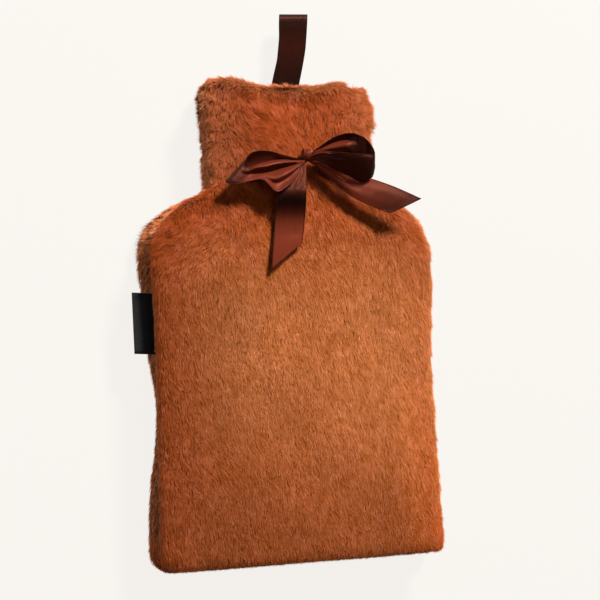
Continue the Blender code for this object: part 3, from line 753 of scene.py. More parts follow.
def make_fur_tree():
    """Grows blades of fur on a mesh that carries nap, stand, pile, cover, loose and shag."""
    tree = bpy.data.node_groups.new("fur_pile", "GeometryNodeTree")
    for name, kind, value in FUR_INPUTS:
        socket = tree.interface.new_socket(name, in_out="INPUT", socket_type="NodeSocket" + kind)
        if value is not None:
            socket.default_value = value
    tree.interface.new_socket("Fur", in_out="OUTPUT", socket_type="NodeSocketGeometry")
    given = tree.nodes.new("NodeGroupInput").outputs
    seed = given["Seed"]

    def number(operation, *values):
        return number_math(tree, operation, *values)

    def vector(operation, *values):
        return vector_math(tree, operation, *values)

    def read(name, kind="FLOAT"):
        values = {"Name": name}
        return add_node(tree, "GeometryNodeInputNamedAttribute", values, data_type=kind).outputs[0]

    def chance(ends, shift):
        """A random number at each root, from the tree's seed and a shift of its own."""
        values = {2: ends[0], 3: ends[1], "Seed": number("ADD", seed, float(shift))}
        return add_node(tree, "FunctionNodeRandomValue", values, data_type="FLOAT").outputs[1]

    density = number("MULTIPLY", given["Density"], read("cover"))
    roots = add_node(
        tree,
        "GeometryNodeDistributePointsOnFaces",
        {"Mesh": given["Ground"], "Density": density, "Seed": seed},
    )
    stand = read("stand", "FLOAT_VECTOR")
    normal = vector("NORMALIZE", vector("ADD", roots.outputs["Normal"], stand))
    position = tree.nodes.new("GeometryNodeInputPosition").outputs[0]
    pile, shag, loose = read("pile"), read("shag"), read("loose")

    def by_shag(pair):
        return number("MULTIPLY_ADD", shag, pair[1], pair[0])

    def along_surface(way):
        out = vector("DOT_PRODUCT", way, normal)
        return vector("SUBTRACT", way, vector("SCALE", normal, out))

    def swirl(scale, amount):
        colour = noise(tree, position, scale)["Color"]
        return vector("SCALE", vector("SUBTRACT", colour, (0.5, 0.5, 0.5)), amount)

    # the way each blade leans: the nap, turned by slow swirls, finer waves and chance
    nap = vector("NORMALIZE", along_surface(read("nap", "FLOAT_VECTOR")))
    wild = number("ADD", by_shag(WILD_BY_SHAG), loose)
    lean = vector("ADD", nap, swirl(SLOW_SWIRLS, wild))
    lean = vector("ADD", lean, swirl(QUICK_SWIRLS, number("MULTIPLY", wild, QUICK_SHARE)))
    stray = add_node(
        tree,
        "FunctionNodeRandomValue",
        {0: (-STRAY,) * 3, 1: (STRAY,) * 3, "Seed": seed},
        data_type="FLOAT_VECTOR",
    ).outputs[0]
    stray = vector("SCALE", stray, number("ADD", loose, 1.0))
    lean = vector("NORMALIZE", along_surface(vector("ADD", lean, stray)))

    # tufts: blades that share a cell bend towards its middle; shaggy fur has larger cells
    def tufts(share):
        size = number("MULTIPLY", given["Tuft Size"], share)
        squeezed = vector("MULTIPLY", position, TUFT_STRETCH)
        values = {"Vector": squeezed, "Scale": number("DIVIDE", 1.0, size)}
        cell = add_node(tree, "ShaderNodeTexVoronoi", values).outputs
        back = tuple(1.0 / stretch for stretch in TUFT_STRETCH)
        centre = vector("MULTIPLY", cell["Position"], back)
        return along_surface(vector("SUBTRACT", centre, position)), cell["Color"]

    def mixed(share, first, second):
        values = {0: share, 4: first, 5: second}
        return add_node(tree, "ShaderNodeMix", values, data_type="VECTOR").outputs[1]

    coarseness = rescaled(tree, shag, given=COARSE_SHAG)
    (fine, fine_tone), (coarse, coarse_tone) = tufts(1.0), tufts(COARSE_TUFTS)
    to_centre = mixed(coarseness, fine, coarse)
    tuft_tone = mixed(coarseness, fine_tone, coarse_tone)
    pull = number("MULTIPLY", given["Tuft Pull"], by_shag(PULL_BY_SHAG))
    gather = vector("SCALE", to_centre, pull)

    # how far each tip stands off and sweeps along the cloth
    uneven = number("SUBTRACT", noise(tree, position, UNEVEN_SCALE)["Fac"], 0.5)
    uneven = number("MULTIPLY_ADD", uneven, by_shag(UNEVEN_BY_SHAG), UNEVEN_MIDDLE)
    tall = number("MULTIPLY", given["Height"], chance(HEIGHT_RANGE, 1))
    tall = number("MULTIPLY", number("MULTIPLY", pile, tall), uneven)
    ragged = number("MULTIPLY", number("SUBTRACT", coarse_tone, 0.5), loose)
    tall = number("MULTIPLY", tall, number("MULTIPLY_ADD", ragged, RAGGED, 1.0))
    swept = number("MULTIPLY", given["Sweep"], chance(SWEEP_RANGE, 2))
    flat = number("MULTIPLY_ADD", loose, SWEEP_BY_LOOSE, by_shag(SWEEP_BY_SHAG))
    swept = number("MULTIPLY", pile, number("MULTIPLY", swept, flat))
    rise = vector("SCALE", normal, tall)
    reach = vector("ADD", vector("SCALE", lean, swept), gather)

    # each blade turns its flat side outward and a little upward
    broad = number("MULTIPLY", given["Width"], chance(WIDTH_RANGE, 3))
    face_up = add_node(tree, "ShaderNodeCombineXYZ", {"Z": given["Face Up"]}).outputs[0]
    outward = vector("ADD", normal, face_up)
    facing = vector("ADD", outward, vector("SCALE", stray, FACE_STRAY))
    run = vector("ADD", rise, reach)
    side = vector("NORMALIZE", vector("CROSS_PRODUCT", run, facing))
    across = vector("SCALE", side, broad)
    tuft_share = number("MULTIPLY", tuft_tone, TONE_OF_TUFT)
    tone = number("ADD", tuft_share, chance((0.0, 1.0 - TONE_OF_TUFT), 4))

    # light falls on a tuft as on a rounded form that leans down the nap
    round_off = vector("SCALE", to_centre, number("DIVIDE", ROUND_OFF, given["Tuft Size"]))
    sky = vector("SUBTRACT", vector("SCALE", normal, swept), vector("SCALE", lean, tall))
    sky = vector("SCALE", vector("NORMALIZE", sky), SKY_SHARE)
    shading = vector("ADD", vector("ADD", outward, sky), round_off)

    kept = add_node(tree, "GeometryNodeCaptureAttribute", domain="POINT")
    tree.links.new(roots.outputs["Points"], kept.inputs["Geometry"])
    fields = {"root": position, "rise": rise, "reach": reach, "across": across, "shading": shading}
    for word in fields:
        kept.capture_items.new("VECTOR", word)
    for word, field in fields.items():
        tree.links.new(field, kept.inputs[word])
    kept = kept.outputs
    toned = add_node(
        tree,
        "GeometryNodeStoreNamedAttribute",
        {"Geometry": kept["Geometry"], "Name": "tone", "Value": tone},
        data_type="FLOAT",
        domain="POINT",
    ).outputs["Geometry"]
    blade = add_node(tree, "GeometryNodeObjectInfo", {"Object": given["Blade"]}).outputs["Geometry"]
    placed = add_node(
        tree, "GeometryNodeInstanceOnPoints", {"Points": toned, "Instance": blade}
    ).outputs["Instances"]
    real = add_node(tree, "GeometryNodeRealizeInstances", {"Geometry": placed}).outputs["Geometry"]

    # each blade rises first and sweeps over later
    t = read("along")
    early = number("MULTIPLY", number("SUBTRACT", 1.0, t), t)
    early = number("MULTIPLY", early, given["Bend"])
    up = vector("SCALE", kept["rise"], number("ADD", t, early))
    over = vector("SCALE", kept["reach"], number("SUBTRACT", t, early))
    wide = vector("SCALE", kept["across"], read("flank"))
    tip = vector("ADD", vector("ADD", vector("ADD", kept["root"], up), over), wide)
    tip = vector("MAXIMUM", tip, (-10.0, -10.0, LOWEST_TIP))
    values = {"Geometry": real, "Position": tip}
    shaped = add_node(tree, "GeometryNodeSetPosition", values).outputs["Geometry"]
    lit = add_node(
        tree, "GeometryNodeSetMeshNormal", {"Mesh": shaped}, mode="FREE", domain="POINT"
    )
    tree.links.new(kept["shading"], lit.inputs["Custom Normal"])
    values = {"Geometry": lit.outputs["Mesh"], "Material": given["Material"]}
    done = add_node(tree, "GeometryNodeSetMaterial", values).outputs["Geometry"]
    tree.links.new(done, tree.nodes.new("NodeGroupOutput").inputs["Fur"])
    return tree


def grown(name, ground, tree, **settings):
    """A plain mesh object that the tree makes from another object's mesh."""
    piece = bpy.data.objects.new(name, ground.data)
    bpy.context.scene.collection.objects.link(piece)
    modifier = piece.modifiers.new("grown", "NODES")
    modifier.node_group = tree
    for item in tree.interface.items_tree:
        word = item.name.replace(" ", "_").lower()
        if item.in_out == "INPUT" and word in settings:
            modifier[item.identifier] = settings[word]
    depsgraph = bpy.context.evaluated_depsgraph_get()
    mesh = bpy.data.meshes.new_from_object(
        piece.evaluated_get(depsgraph), preserve_all_data_layers=True, depsgraph=depsgraph
    )
    piece.modifiers.remove(modifier)
    piece.data = mesh
    mesh.name = name
    return piece


# Fibres: root, middle and tip colours of four kinds of fur, and a tone that differs from tuft to
# tuft and from blade to blade. The third kind is the lighter colour of the painted sheen, and the
# fourth gives the pale tips of a painted rim light.
DEEP_FIBRE = ((0.12, 0.012, 0.0008), (0.27, 0.034, 0.0020), (0.49, 0.076, 0.005))
CLOSE_FIBRE = ((0.25, 0.048, 0.0078), (0.30, 0.059, 0.0096), (0.42, 0.093, 0.016))
PAINTED_SHEEN_FIBRE = ((0.34, 0.084, 0.018), (0.46, 0.125, 0.030), (0.72, 0.240, 0.068))
RIM_LIGHT_FIBRE = ((0.26, 0.062, 0.012), (0.46, 0.135, 0.034), (0.84, 0.440, 0.200))
FIBRE_MIDDLE = 0.45
PAINTED_SHEEN_BY_SHAG = (1.0, -0.5)
RIM_LIGHT_SHARE = 0.5
CONTRAST_BY_SHAG = (0.90, 0.32)
TONE_SATURATION = (1.1, -0.2)
PATCH_SCALE = 22.0
PATCH_RANGE = (0.76, 1.24)

fur_finish, tree, shader = new_material(
    "plush_fur",
    (0.43, 0.11, 0.028),
    Roughness=0.75,
    Specular_IOR_Level=0.15,
    Sheen_Weight=0.22,
    Sheen_Roughness=0.35,
    Sheen_Tint=(1.0, 0.62, 0.34, 1.0),
)


def carried(tree, name):
    """A value that the mesh carries."""
    return add_node(tree, "ShaderNodeAttribute", attribute_name=name).outputs["Fac"]


along, tone, painted_sheen, shag, loose, painted_shading = (
    carried(tree, word) for word in ("along", "tone", "painted_sheen", "shag", "loose", "painted_shading")
)


def fibre_ramp(tree, along, colours):
    """The colour of a fibre from its root to its tip."""
    root, middle, tip = colours
    ramp = add_node(tree, "ShaderNodeValToRGB", {"Fac": along})
    stops = ramp.color_ramp.elements
    stops[0].position, stops[0].color = 0.0, (*root, 1.0)
    stops[1].position, stops[1].color = 1.0, (*tip, 1.0)
    stops.new(FIBRE_MIDDLE).color = (*middle, 1.0)
    return ramp.outputs["Color"]


deep, close, bright, tan = (
    fibre_ramp(tree, along, colours)
    for colours in (DEEP_FIBRE, CLOSE_FIBRE, PAINTED_SHEEN_FIBRE, RIM_LIGHT_FIBRE)
)
# painted sheen: the lighter colour comes in where the painted sheen patches lie, less on shaggy fur
painted_sheen_share = number_math(tree, "MULTIPLY_ADD", shag, PAINTED_SHEEN_BY_SHAG[1], PAINTED_SHEEN_BY_SHAG[0])
painted_sheen_share = number_math(tree, "MULTIPLY", painted_sheen, painted_sheen_share)
fibre = blend(tree, painted_sheen_share, blend(tree, shag, close, deep), bright)
# painted rim light: pale tips where the fur stands loose at the edges
fibre = blend(tree, number_math(tree, "MULTIPLY", loose, RIM_LIGHT_SHARE), fibre, tan)
contrast = number_math(tree, "MULTIPLY_ADD", shag, CONTRAST_BY_SHAG[1], CONTRAST_BY_SHAG[0])
# painted shade and painted light by place, with the random tone, set each blade's brightness
shade = number_math(tree, "SUBTRACT", tone, 0.5)
shade = number_math(tree, "MULTIPLY_ADD", shade, contrast, painted_shading)
place = add_node(tree, "ShaderNodeTexCoord").outputs["Object"]
patch = rescaled(tree, noise(tree, place, PATCH_SCALE, 4.0)["Fac"], wanted=PATCH_RANGE)
values = {
    "Saturation": number_math(tree, "MULTIPLY_ADD", tone, TONE_SATURATION[1], TONE_SATURATION[0]),
    "Value": number_math(tree, "MULTIPLY", shade, patch),
    "Color": fibre,
}
coloured = add_node(tree, "ShaderNodeHueSaturation", values).outputs["Color"]
feed(tree, shader, Base_Color=coloured)

# one blade: a kite of two triangles, folded across its middle
BLADE_ALONG = (0.0, 0.42, 0.42, 1.0)
BLADE_FLANK = (0.0, -0.5, 0.5, 0.0)
blade_mesh = bpy.data.meshes.new("fur_blade")
corners = [(0.0, 0.0, 0.0), (-0.5, 0.0, 0.4), (0.5, 0.0, 0.4), (0.0, 0.0, 1.0)]
blade_mesh.from_pydata(corners, [], [(0, 2, 1), (1, 2, 3)])
for word, shares in (("along", BLADE_ALONG), ("flank", BLADE_FLANK)):
    blade_mesh.attributes.new(word, "FLOAT", "POINT").data.foreach_set("value", shares)
blade = bpy.data.objects.new("fur_blade", blade_mesh)
bpy.context.scene.collection.objects.link(blade)


def fur_area(ground):
    """The cloth's area that carries fur, in square metres."""
    cover = np.zeros(len(ground.data.vertices))
    ground.data.attributes["cover"].data.foreach_get("value", cover)
    return sum(face.area * cover[list(face.vertices)].mean() for face in ground.data.polygons)


FRONT_FUR = {
    "front_underfur": {"height": 0.9, "sweep": 0.9, "width": 0.0006, "seed": 11},
    "front_pile": {"height": 1.0, "sweep": 1.0, "width": 0.0004, "seed": 12},
    "front_guard_hair": {"height": 1.08, "sweep": 1.15, "width": 0.0003, "seed": 13},
}
BACK_FUR = {
    "back_underfur": {"height": 0.85, "sweep": 0.9, "width": 0.0009, "seed": 21},
    "back_pile": {"height": 1.05, "sweep": 1.1, "width": 0.0006, "seed": 22},
}
FUR_BLADES = {"front": 98_500, "back": 66_000}

fur_tree = make_fur_tree()
furs = {"front": [], "back": []}
for panel, ground, layers in (("front", front_ground, FRONT_FUR), ("back", back_ground, BACK_FUR)):
    density = FUR_BLADES[panel] / fur_area(ground)
    for name, layer in layers.items():
        fur = grown(
            name,
            ground,
            fur_tree,
            density=density,
            blade=blade,
            material=fur_finish,
            tuft_size=0.0028,
            tuft_pull=0.28,
            bend=0.6,
            face_up=0.9 if panel == "front" else 0.5,
            **layer,
        )
        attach(fur, "root")
        furs[panel].append(fur)
bpy.data.objects.remove(blade)

for cloth, node, furred in (
    (front_ground, "front_panel", furs["front"]),
    (back_ground, "back_panel", furs["back"]),
):
    cloth.data.materials.append(knit)
    thickness = cloth.modifiers.new("thickness", "SOLIDIFY")
    thickness.thickness = GROUND_THICKNESS * METRES_PER_MM
    thickness.offset = -1.0
    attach(cloth, "root")
    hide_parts(node)

# ==== Satin hanging loop ========================================================================
# A length of 22 mm double-faced satin ribbon, folded in half. Its two ends are sewn one on the
# other inside the back's hem, and its fold lies flat beyond the neck, leaning a little right.

RIBBON_WIDTH = 21.5
RIBBON_THICKNESS = 0.4
PLEATS_ACROSS = 2.5
PLEAT_DEPTH = 0.09  # as a share of the strip's width there
PLEAT_FREE = 0.7  # a strip wider than the root of this share of the ribbon has no pleats
PLEAT_SWAY, SWAY_LENGTH = 0.5, 9.0
CREASE_SHARE, CREASE_RATIO = 0.45, 2.1  # smaller creases between the pleats
CREASE_SHIFT, CREASE_LENGTH = 0.8, 14.0


def cloth_piece(name, points, faces, places, painted_shadings, finish):
    """A smooth mesh. Its UV map is in metres; a value at each point paints shade and light on it.
    """
    mesh = bpy.data.meshes.new(name)
    mesh.from_pydata(points.tolist(), [], faces)
    corners = np.array([corner.vertex_index for corner in mesh.loops])
    mesh.uv_layers.new(name="cloth").data.foreach_set("uv", places[corners].ravel())
    mesh.attributes.new("painted_shading", "FLOAT", "POINT").data.foreach_set("value", painted_shadings)
    mesh.materials.append(finish)
    mesh.shade_smooth()
    piece = bpy.data.objects.new(name, mesh)
    bpy.context.scene.collection.objects.link(piece)
    return piece


def ribbon(name, net, steps, across, finish, thickness=RIBBON_THICKNESS, painted_shading=1.0):
    """A strip of ribbon laid through a net of points, and pleated where it is gathered.

    Each row of the net runs from one edge of the strip to the other. The strip's UV map says how
    far across it and how far along it each point lies.
    """
    net = np.asarray(net, float)
    rows = smoothed(net.reshape(len(net), -1), steps).reshape(-1, net.shape[1], 3)
    grid = rows.transpose(1, 0, 2)
    grid = smoothed(grid.reshape(len(grid), -1), across).reshape(-1, len(rows), 3)
    along, beside = np.gradient(grid, axis=1), np.gradient(grid, axis=0)
    up = np.cross(along, beside)
    up /= np.maximum(np.linalg.norm(up, axis=2), 1e-9)[..., None]
    middle = grid[len(grid) // 2]
    run = np.concatenate([[0.0], np.cumsum(np.linalg.norm(np.diff(middle, axis=0), axis=1))])
    width = np.linalg.norm(np.diff(grid, axis=0), axis=2).sum(axis=0)
    gathered = np.clip(1.0 - (width / RIBBON_WIDTH) ** 2 / PLEAT_FREE, 0.0, 1.0)
    share = np.linspace(0.0, 1.0, len(grid))[:, None]
    wave = math.tau * PLEATS_ACROSS * share + PLEAT_SWAY * np.sin(run / SWAY_LENGTH)
    crease = np.sin(CREASE_RATIO * wave + CREASE_SHIFT + run / CREASE_LENGTH)
    pleat = np.sin(wave) + CREASE_SHARE * crease
    grid = grid + up * (PLEAT_DEPTH * width * gathered * pleat)[..., None]
    across_by = np.broadcast_to(share * RIBBON_WIDTH, pleat.shape)
    places = np.stack([across_by, np.broadcast_to(run, pleat.shape)], axis=2)
    count = len(rows)
    faces = [
        (j * count + i, j * count + i + 1, (j + 1) * count + i + 1, (j + 1) * count + i)
        for j in range(len(grid) - 1)
        for i in range(count - 1)
    ]
    points, places = (values.reshape(count * len(grid), -1) for values in (grid, places))
    # painted shade and painted light, one value to a row of the net
    painted_shadings = np.tile(smoothed(np.broadcast_to(painted_shading, (len(net),))[:, None], steps)[:, 0], len(grid))
    scale = METRES_PER_MM
    piece = cloth_piece(name, points * scale, faces, places * scale, painted_shadings, finish)
    solidify = piece.modifiers.new("thickness", "SOLIDIFY")
    solidify.thickness = thickness * METRES_PER_MM
    solidify.offset = 0.0
    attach(piece, "root")
    return piece, float(run[-1]) * METRES_PER_MM


# Satin: fine warp ribs along the ribbon, a corded selvedge at each edge, soft press marks.
WAVE_REPEAT = 0.314  # how far apart the bands of a wave texture of scale 1 are, in metres
WARP_REPEAT = 0.00028  # and the satin's warp ribs
SLUBS = (1600.0, 60.0, 0.0)  # fine across the ribbon and long along it
PRESS_MARKS = 130.0
SELVEDGE = (0.0096, 0.0101)  # where its cord rises, in metres from the ribbon's middle
WARP_RELIEF, PRESS_RELIEF = 0.35, 1.6  # against the selvedge's

satin, tree, shader = new_material(
    "satin_ribbon",
    (0.05, 0.011, 0.007),
    Specular_IOR_Level=0.27,
    Specular_Tint=(1.0, 0.32, 0.22, 1.0),
)
weave_map = add_node(tree, "ShaderNodeUVMap", uv_map="cloth").outputs["UV"]
across = add_node(tree, "ShaderNodeSeparateXYZ", {"Vector": weave_map}).outputs["X"]
warp = waves(tree, weave_map, "X", WAVE_REPEAT / WARP_REPEAT, 0.6, 2.0)
slub = noise(tree, vector_math(tree, "MULTIPLY", weave_map, SLUBS), 1.0, 3.0)["Fac"]
press = noise(tree, weave_map, PRESS_MARKS)["Fac"]
off_middle = number_math(tree, "SUBTRACT", across, RIBBON_WIDTH / 2 * METRES_PER_MM)
selvedge = rescaled(tree, number_math(tree, "ABSOLUTE", off_middle), given=SELVEDGE)
shine = blend(tree, slub, (0.090, 0.0145, 0.006), (0.150, 0.0255, 0.011))
edged = blend(tree, selvedge, shine, (0.06, 0.010, 0.005))
height = number_math(tree, "MULTIPLY_ADD", warp, WARP_RELIEF, selvedge)
height = number_math(tree, "MULTIPLY_ADD", press, PRESS_RELIEF, height)
# the colour's value is scaled by the painted shade and painted light that the mesh carries
values = {"Value": carried(tree, "painted_shading"), "Color": edged}
cloth_colour = add_node(tree, "ShaderNodeHueSaturation", values).outputs["Color"]
gloss = rescaled(tree, slub, wanted=(0.32, 0.42))
feed(tree, shader, Base_Color=cloth_colour, Roughness=gloss, Normal=raised(tree, height, 0.6, 0.0002))

HANGING_LOOP = (
    ((-8.6, 189.6, 14.2), (11.9, 190.2, 14.2)),
    ((-5.6, 201.8, 13.8), (14.7, 202.4, 13.8)),
    ((-3.1, 210.3, 13.2), (17.0, 211.0, 13.2)),
    ((-0.7, 219.1, 12.8), (19.0, 219.9, 12.8)),
    ((0.7, 228.0, 12.6), (20.9, 228.8, 12.6)),
    ((1.6, 236.4, 12.6), (21.9, 237.3, 12.6)),
    ((2.1, 245.5, 12.8), (22.9, 246.4, 12.8)),
    ((2.2, 251.5, 13.2), (23.3, 252.5, 13.2)),
    ((1.1, 253.2, 16.0), (23.0, 254.2, 16.0)),
    ((0.1, 250.5, 18.6), (22.1, 251.5, 18.6)),
    ((-0.4, 243.6, 18.9), (21.4, 244.6, 18.9)),
    ((-0.6, 234.7, 18.4), (20.6, 235.6, 18.4)),
    ((-1.5, 226.5, 17.9), (19.7, 227.3, 17.9)),
    ((-2.7, 217.8, 17.4), (18.1, 218.6, 17.4)),
    ((-4.9, 209.3, 17.0), (16.2, 210.0, 17.0)),
    ((-7.0, 201.0, 16.8), (14.2, 201.7, 16.8)),
    ((-10.0, 188.9, 16.8), (11.2, 189.5, 16.8)),
)
# painted shade: the hanging loop is darkened all over, most near its fold and near the mouth
HANGING_LOOP_PAINTED_SHADE = (0.12,) * 8 + (0.15,) + (0.03, 0.05, 0.12, 0.14, 0.1, 0.05, 0.03, 0.03)
hanging_loop, run = ribbon("hanging_ribbon", HANGING_LOOP, 6, 12, satin, painted_shading=HANGING_LOOP_PAINTED_SHADE)
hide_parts("hanging_loop")

# ==== Satin bow =================================================================================
# The same ribbon tied in a bow and sewn on at the base of the neck. Two loops and two tails come
# out of a small knot, gathered in pleats there, and the tails' ends are cut on the slant.

BOW_LOOP_LEFT = (
    ((5.4, 138.7, 48.8), (5.5, 138.4, 48.6), (5.5, 138.0, 48.4),
     (5.5, 137.6, 48.3), (5.6, 137.2, 48.2), (5.6, 136.9, 48.0)),
    ((-1.7, 138.8, 50.5), (-1.4, 137.9, 49.8), (-1.1, 137.0, 49.2),
     (-0.8, 135.9, 48.8), (-0.6, 134.8, 48.4), (-0.3, 133.8, 48.0)),
    ((-11.0, 140.5, 52.5), (-10.5, 138.3, 50.5), (-10.1, 135.9, 49.0),
     (-9.9, 133.3, 48.4), (-9.7, 131.0, 48.0), (-9.5, 128.5, 47.8)),
    ((-21.0, 142.4, 54.5), (-20.7, 139.4, 51.5), (-20.7, 136.1, 49.5),
     (-20.8, 132.2, 48.6), (-21.0, 128.3, 48.2), (-21.3, 124.3, 48.0)),
    ((-28.7, 142.4, 56.0), (-28.7, 139.1, 52.0), (-29.3, 135.1, 49.5),
     (-30.1, 130.8, 48.5), (-31.1, 126.0, 48.2), (-32.0, 121.5, 48.0)),
    ((-34.3, 140.9, 56.5), (-35.9, 137.8, 52.5), (-37.9, 134.0, 50.0),
     (-39.9, 129.7, 49.0), (-42.0, 125.2, 48.6), (-43.9, 120.7, 48.4)),
    ((-38.0, 137.9, 57.0), (-40.5, 134.7, 54.5), (-43.1, 131.6, 53.0),
     (-46.0, 128.2, 52.0), (-48.9, 124.6, 51.2), (-51.6, 121.3, 50.8)),
    ((-39.8, 134.6, 58.5), (-42.6, 131.7, 57.0), (-45.4, 129.0, 56.0),
     (-48.1, 126.4, 55.0), (-50.9, 123.8, 54.0), (-53.7, 121.7, 53.2)),
    ((-39.2, 131.8, 57.5), (-41.9, 128.9, 58.0), (-44.5, 126.3, 57.5),
     (-47.8, 123.7, 57.5), (-50.9, 121.1, 57.0), (-53.2, 119.2, 55.5)),
    ((-35.8, 131.6, 54.5), (-38.7, 127.8, 58.5), (-39.5, 125.4, 57.0),
     (-42.0, 122.4, 57.5), (-44.0, 120.1, 58.0), (-46.2, 118.1, 57.5)),
    ((-29.5, 133.8, 52.5), (-33.2, 129.7, 59.0), (-33.6, 127.2, 54.5),
     (-35.1, 124.1, 57.0), (-36.9, 121.7, 58.5), (-38.5, 119.8, 59.0)),
    ((-23.4, 135.6, 52.0), (-26.0, 130.7, 59.5), (-24.8, 128.6, 53.0),
     (-26.8, 124.7, 58.0), (-27.9, 122.4, 60.0), (-28.5, 120.7, 60.5)),
    ((-17.9, 136.5, 52.0), (-20.0, 132.3, 59.0), (-18.1, 130.6, 52.5),
     (-19.7, 122.6, 60.0), (-18.7, 118.7, 57.5), (-19.7, 112.5, 61.5)),
    ((-11.1, 136.9, 52.2), (-12.5, 133.7, 58.0), (-10.7, 132.4, 52.5),
     (-12.1, 125.3, 60.0), (-10.3, 122.5, 56.0), (-11.6, 116.1, 60.5)),
    ((-4.2, 136.6, 52.2), (-5.2, 134.5, 56.0), (-3.9, 133.6, 52.5),
     (-4.9, 129.4, 57.5), (-3.7, 127.4, 55.0), (-4.3, 123.2, 57.5)),
    ((0.7, 136.4, 52.0), (0.4, 135.4, 53.5), (0.9, 134.9, 52.5),
     (0.8, 133.7, 54.0), (1.2, 132.9, 53.8), (1.6, 131.9, 54.0)),
    ((5.2, 137.1, 50.5), (5.1, 136.7, 51.0), (5.2, 136.4, 50.6),
     (5.0, 136.0, 51.0), (5.1, 135.6, 50.8), (5.0, 135.2, 51.0)),
)
BOW_LOOP_RIGHT = (
    ((8.8, 139.2, 48.8), (8.9, 138.8, 48.6), (8.9, 138.5, 48.4),
     (8.9, 138.1, 48.3), (8.9, 137.6, 48.2), (9.0, 137.3, 48.0)),
    ((12.9, 143.7, 52.0), (13.6, 143.2, 51.0), (13.4, 141.5, 53.6),
     (14.6, 140.4, 50.8), (15.3, 139.1, 49.5), (15.8, 137.6, 49.0)),
    ((18.3, 147.9, 56.0), (19.8, 147.3, 53.0), (18.6, 143.3, 58.5),
     (20.8, 140.8, 53.0), (21.9, 137.7, 51.0), (22.7, 135.2, 50.0)),
    ((25.5, 152.1, 60.5), (27.8, 151.4, 55.0), (26.2, 145.0, 61.5),
     (28.8, 140.5, 55.5), (30.2, 136.2, 52.5), (30.9, 132.3, 51.5)),
    ((33.9, 154.2, 63.5), (35.7, 152.5, 58.0), (33.7, 146.0, 63.5),
     (36.1, 140.0, 58.5), (37.4, 134.9, 55.0), (38.1, 130.1, 54.0)),
    ((41.4, 152.9, 66.0), (40.4, 148.8, 63.5), (40.0, 145.2, 62.5),
     (41.7, 138.6, 59.5), (43.0, 133.3, 56.5), (43.8, 127.2, 55.5)),
    ((47.8, 148.8, 66.5), (47.8, 144.9, 64.5), (47.5, 140.3, 63.0),
     (47.8, 134.8, 61.0), (48.4, 129.8, 59.0), (49.2, 124.2, 57.5)),
    ((51.1, 142.4, 68.5), (51.4, 138.9, 67.0), (51.6, 134.9, 65.5),
     (52.0, 131.2, 63.5), (51.9, 127.4, 61.5), (51.5, 122.9, 59.5)),
    ((51.0, 137.8, 70.5), (51.2, 134.9, 69.8), (51.6, 132.1, 68.2),
     (52.2, 129.0, 66.0), (52.3, 126.1, 63.5), (51.9, 123.6, 61.0)),
    ((47.9, 138.0, 71.1), (47.9, 134.6, 70.6), (48.2, 131.1, 68.8),
     (48.3, 127.5, 66.3), (48.3, 124.0, 63.3), (48.0, 121.1, 60.0)),
    ((41.8, 138.3, 71.0), (41.7, 135.2, 70.2), (42.0, 131.8, 68.0),
     (42.4, 127.9, 65.0), (43.2, 124.0, 61.5), (44.1, 120.5, 58.0)),
    ((33.4, 139.1, 68.5), (33.3, 136.7, 67.6), (33.4, 133.7, 65.6),
     (33.7, 130.6, 63.0), (34.1, 127.8, 60.0), (34.7, 125.2, 57.0)),
    ((25.2, 140.6, 64.0), (25.1, 138.5, 63.2), (25.0, 136.3, 61.6),
     (25.1, 134.1, 59.4), (25.3, 132.0, 57.0), (25.6, 130.1, 54.6)),
    ((18.4, 142.2, 58.0), (17.9, 140.4, 59.4), (18.2, 139.0, 57.6),
     (18.4, 137.3, 56.0), (18.8, 135.9, 54.0), (19.0, 134.4, 52.6)),
    ((12.9, 141.6, 53.0), (12.5, 140.4, 54.6), (12.9, 139.6, 53.2),
     (12.9, 138.4, 53.0), (13.2, 137.6, 51.8), (13.3, 136.7, 51.4)),
    ((7.7, 138.2, 50.6), (7.7, 137.9, 50.6), (7.6, 137.5, 50.6),
     (7.7, 137.2, 50.4), (7.7, 136.9, 50.2), (7.8, 136.6, 50.0)),
)
BOW_TAIL_LEFT = (
    ((5.1, 137.2, 48.6), (5.3, 137.1, 48.8), (5.6, 137.2, 48.6),
     (5.8, 137.1, 48.8), (6.2, 137.2, 48.6)),
    ((0.5, 130.8, 50.5), (1.7, 130.6, 51.6), (3.3, 130.8, 50.6),
     (4.3, 130.7, 51.4), (6.0, 130.7, 50.4)),
    ((-6.9, 122.2, 53.0), (-4.1, 122.1, 54.8), (-0.7, 122.4, 53.4),
     (2.0, 122.3, 54.2), (5.2, 122.3, 53.0)),
    ((-15.4, 113.6, 56.0), (-10.8, 113.6, 57.2), (-5.9, 113.9, 56.6),
     (-1.2, 113.9, 57.0), (3.8, 113.7, 56.2)),
    ((-18.4, 106.0, 55.2), (-13.2, 105.8, 56.0), (-7.7, 105.8, 55.8),
     (-2.2, 105.6, 56.0), (3.5, 105.6, 55.4)),
    ((-18.6, 96.0, 51.8), (-13.2, 95.9, 52.2), (-7.7, 95.9, 52.2),
     (-2.2, 96.0, 52.2), (3.5, 96.0, 51.8)),
    ((-19.7, 85.4, 51.4), (-14.3, 85.5, 51.8), (-8.9, 85.7, 51.8),
     (-3.3, 86.0, 51.6), (2.2, 86.3, 51.4)),
    ((-21.0, 74.7, 52.0), (-15.6, 76.8, 52.4), (-10.1, 78.6, 52.4),
     (-4.5, 80.1, 52.2), (1.2, 81.3, 51.8)),
    ((-22.9, 59.0, 52.6), (-17.3, 63.4, 52.8), (-11.6, 67.9, 52.8),
     (-5.8, 72.5, 52.6), (0.1, 77.0, 52.4)),
)
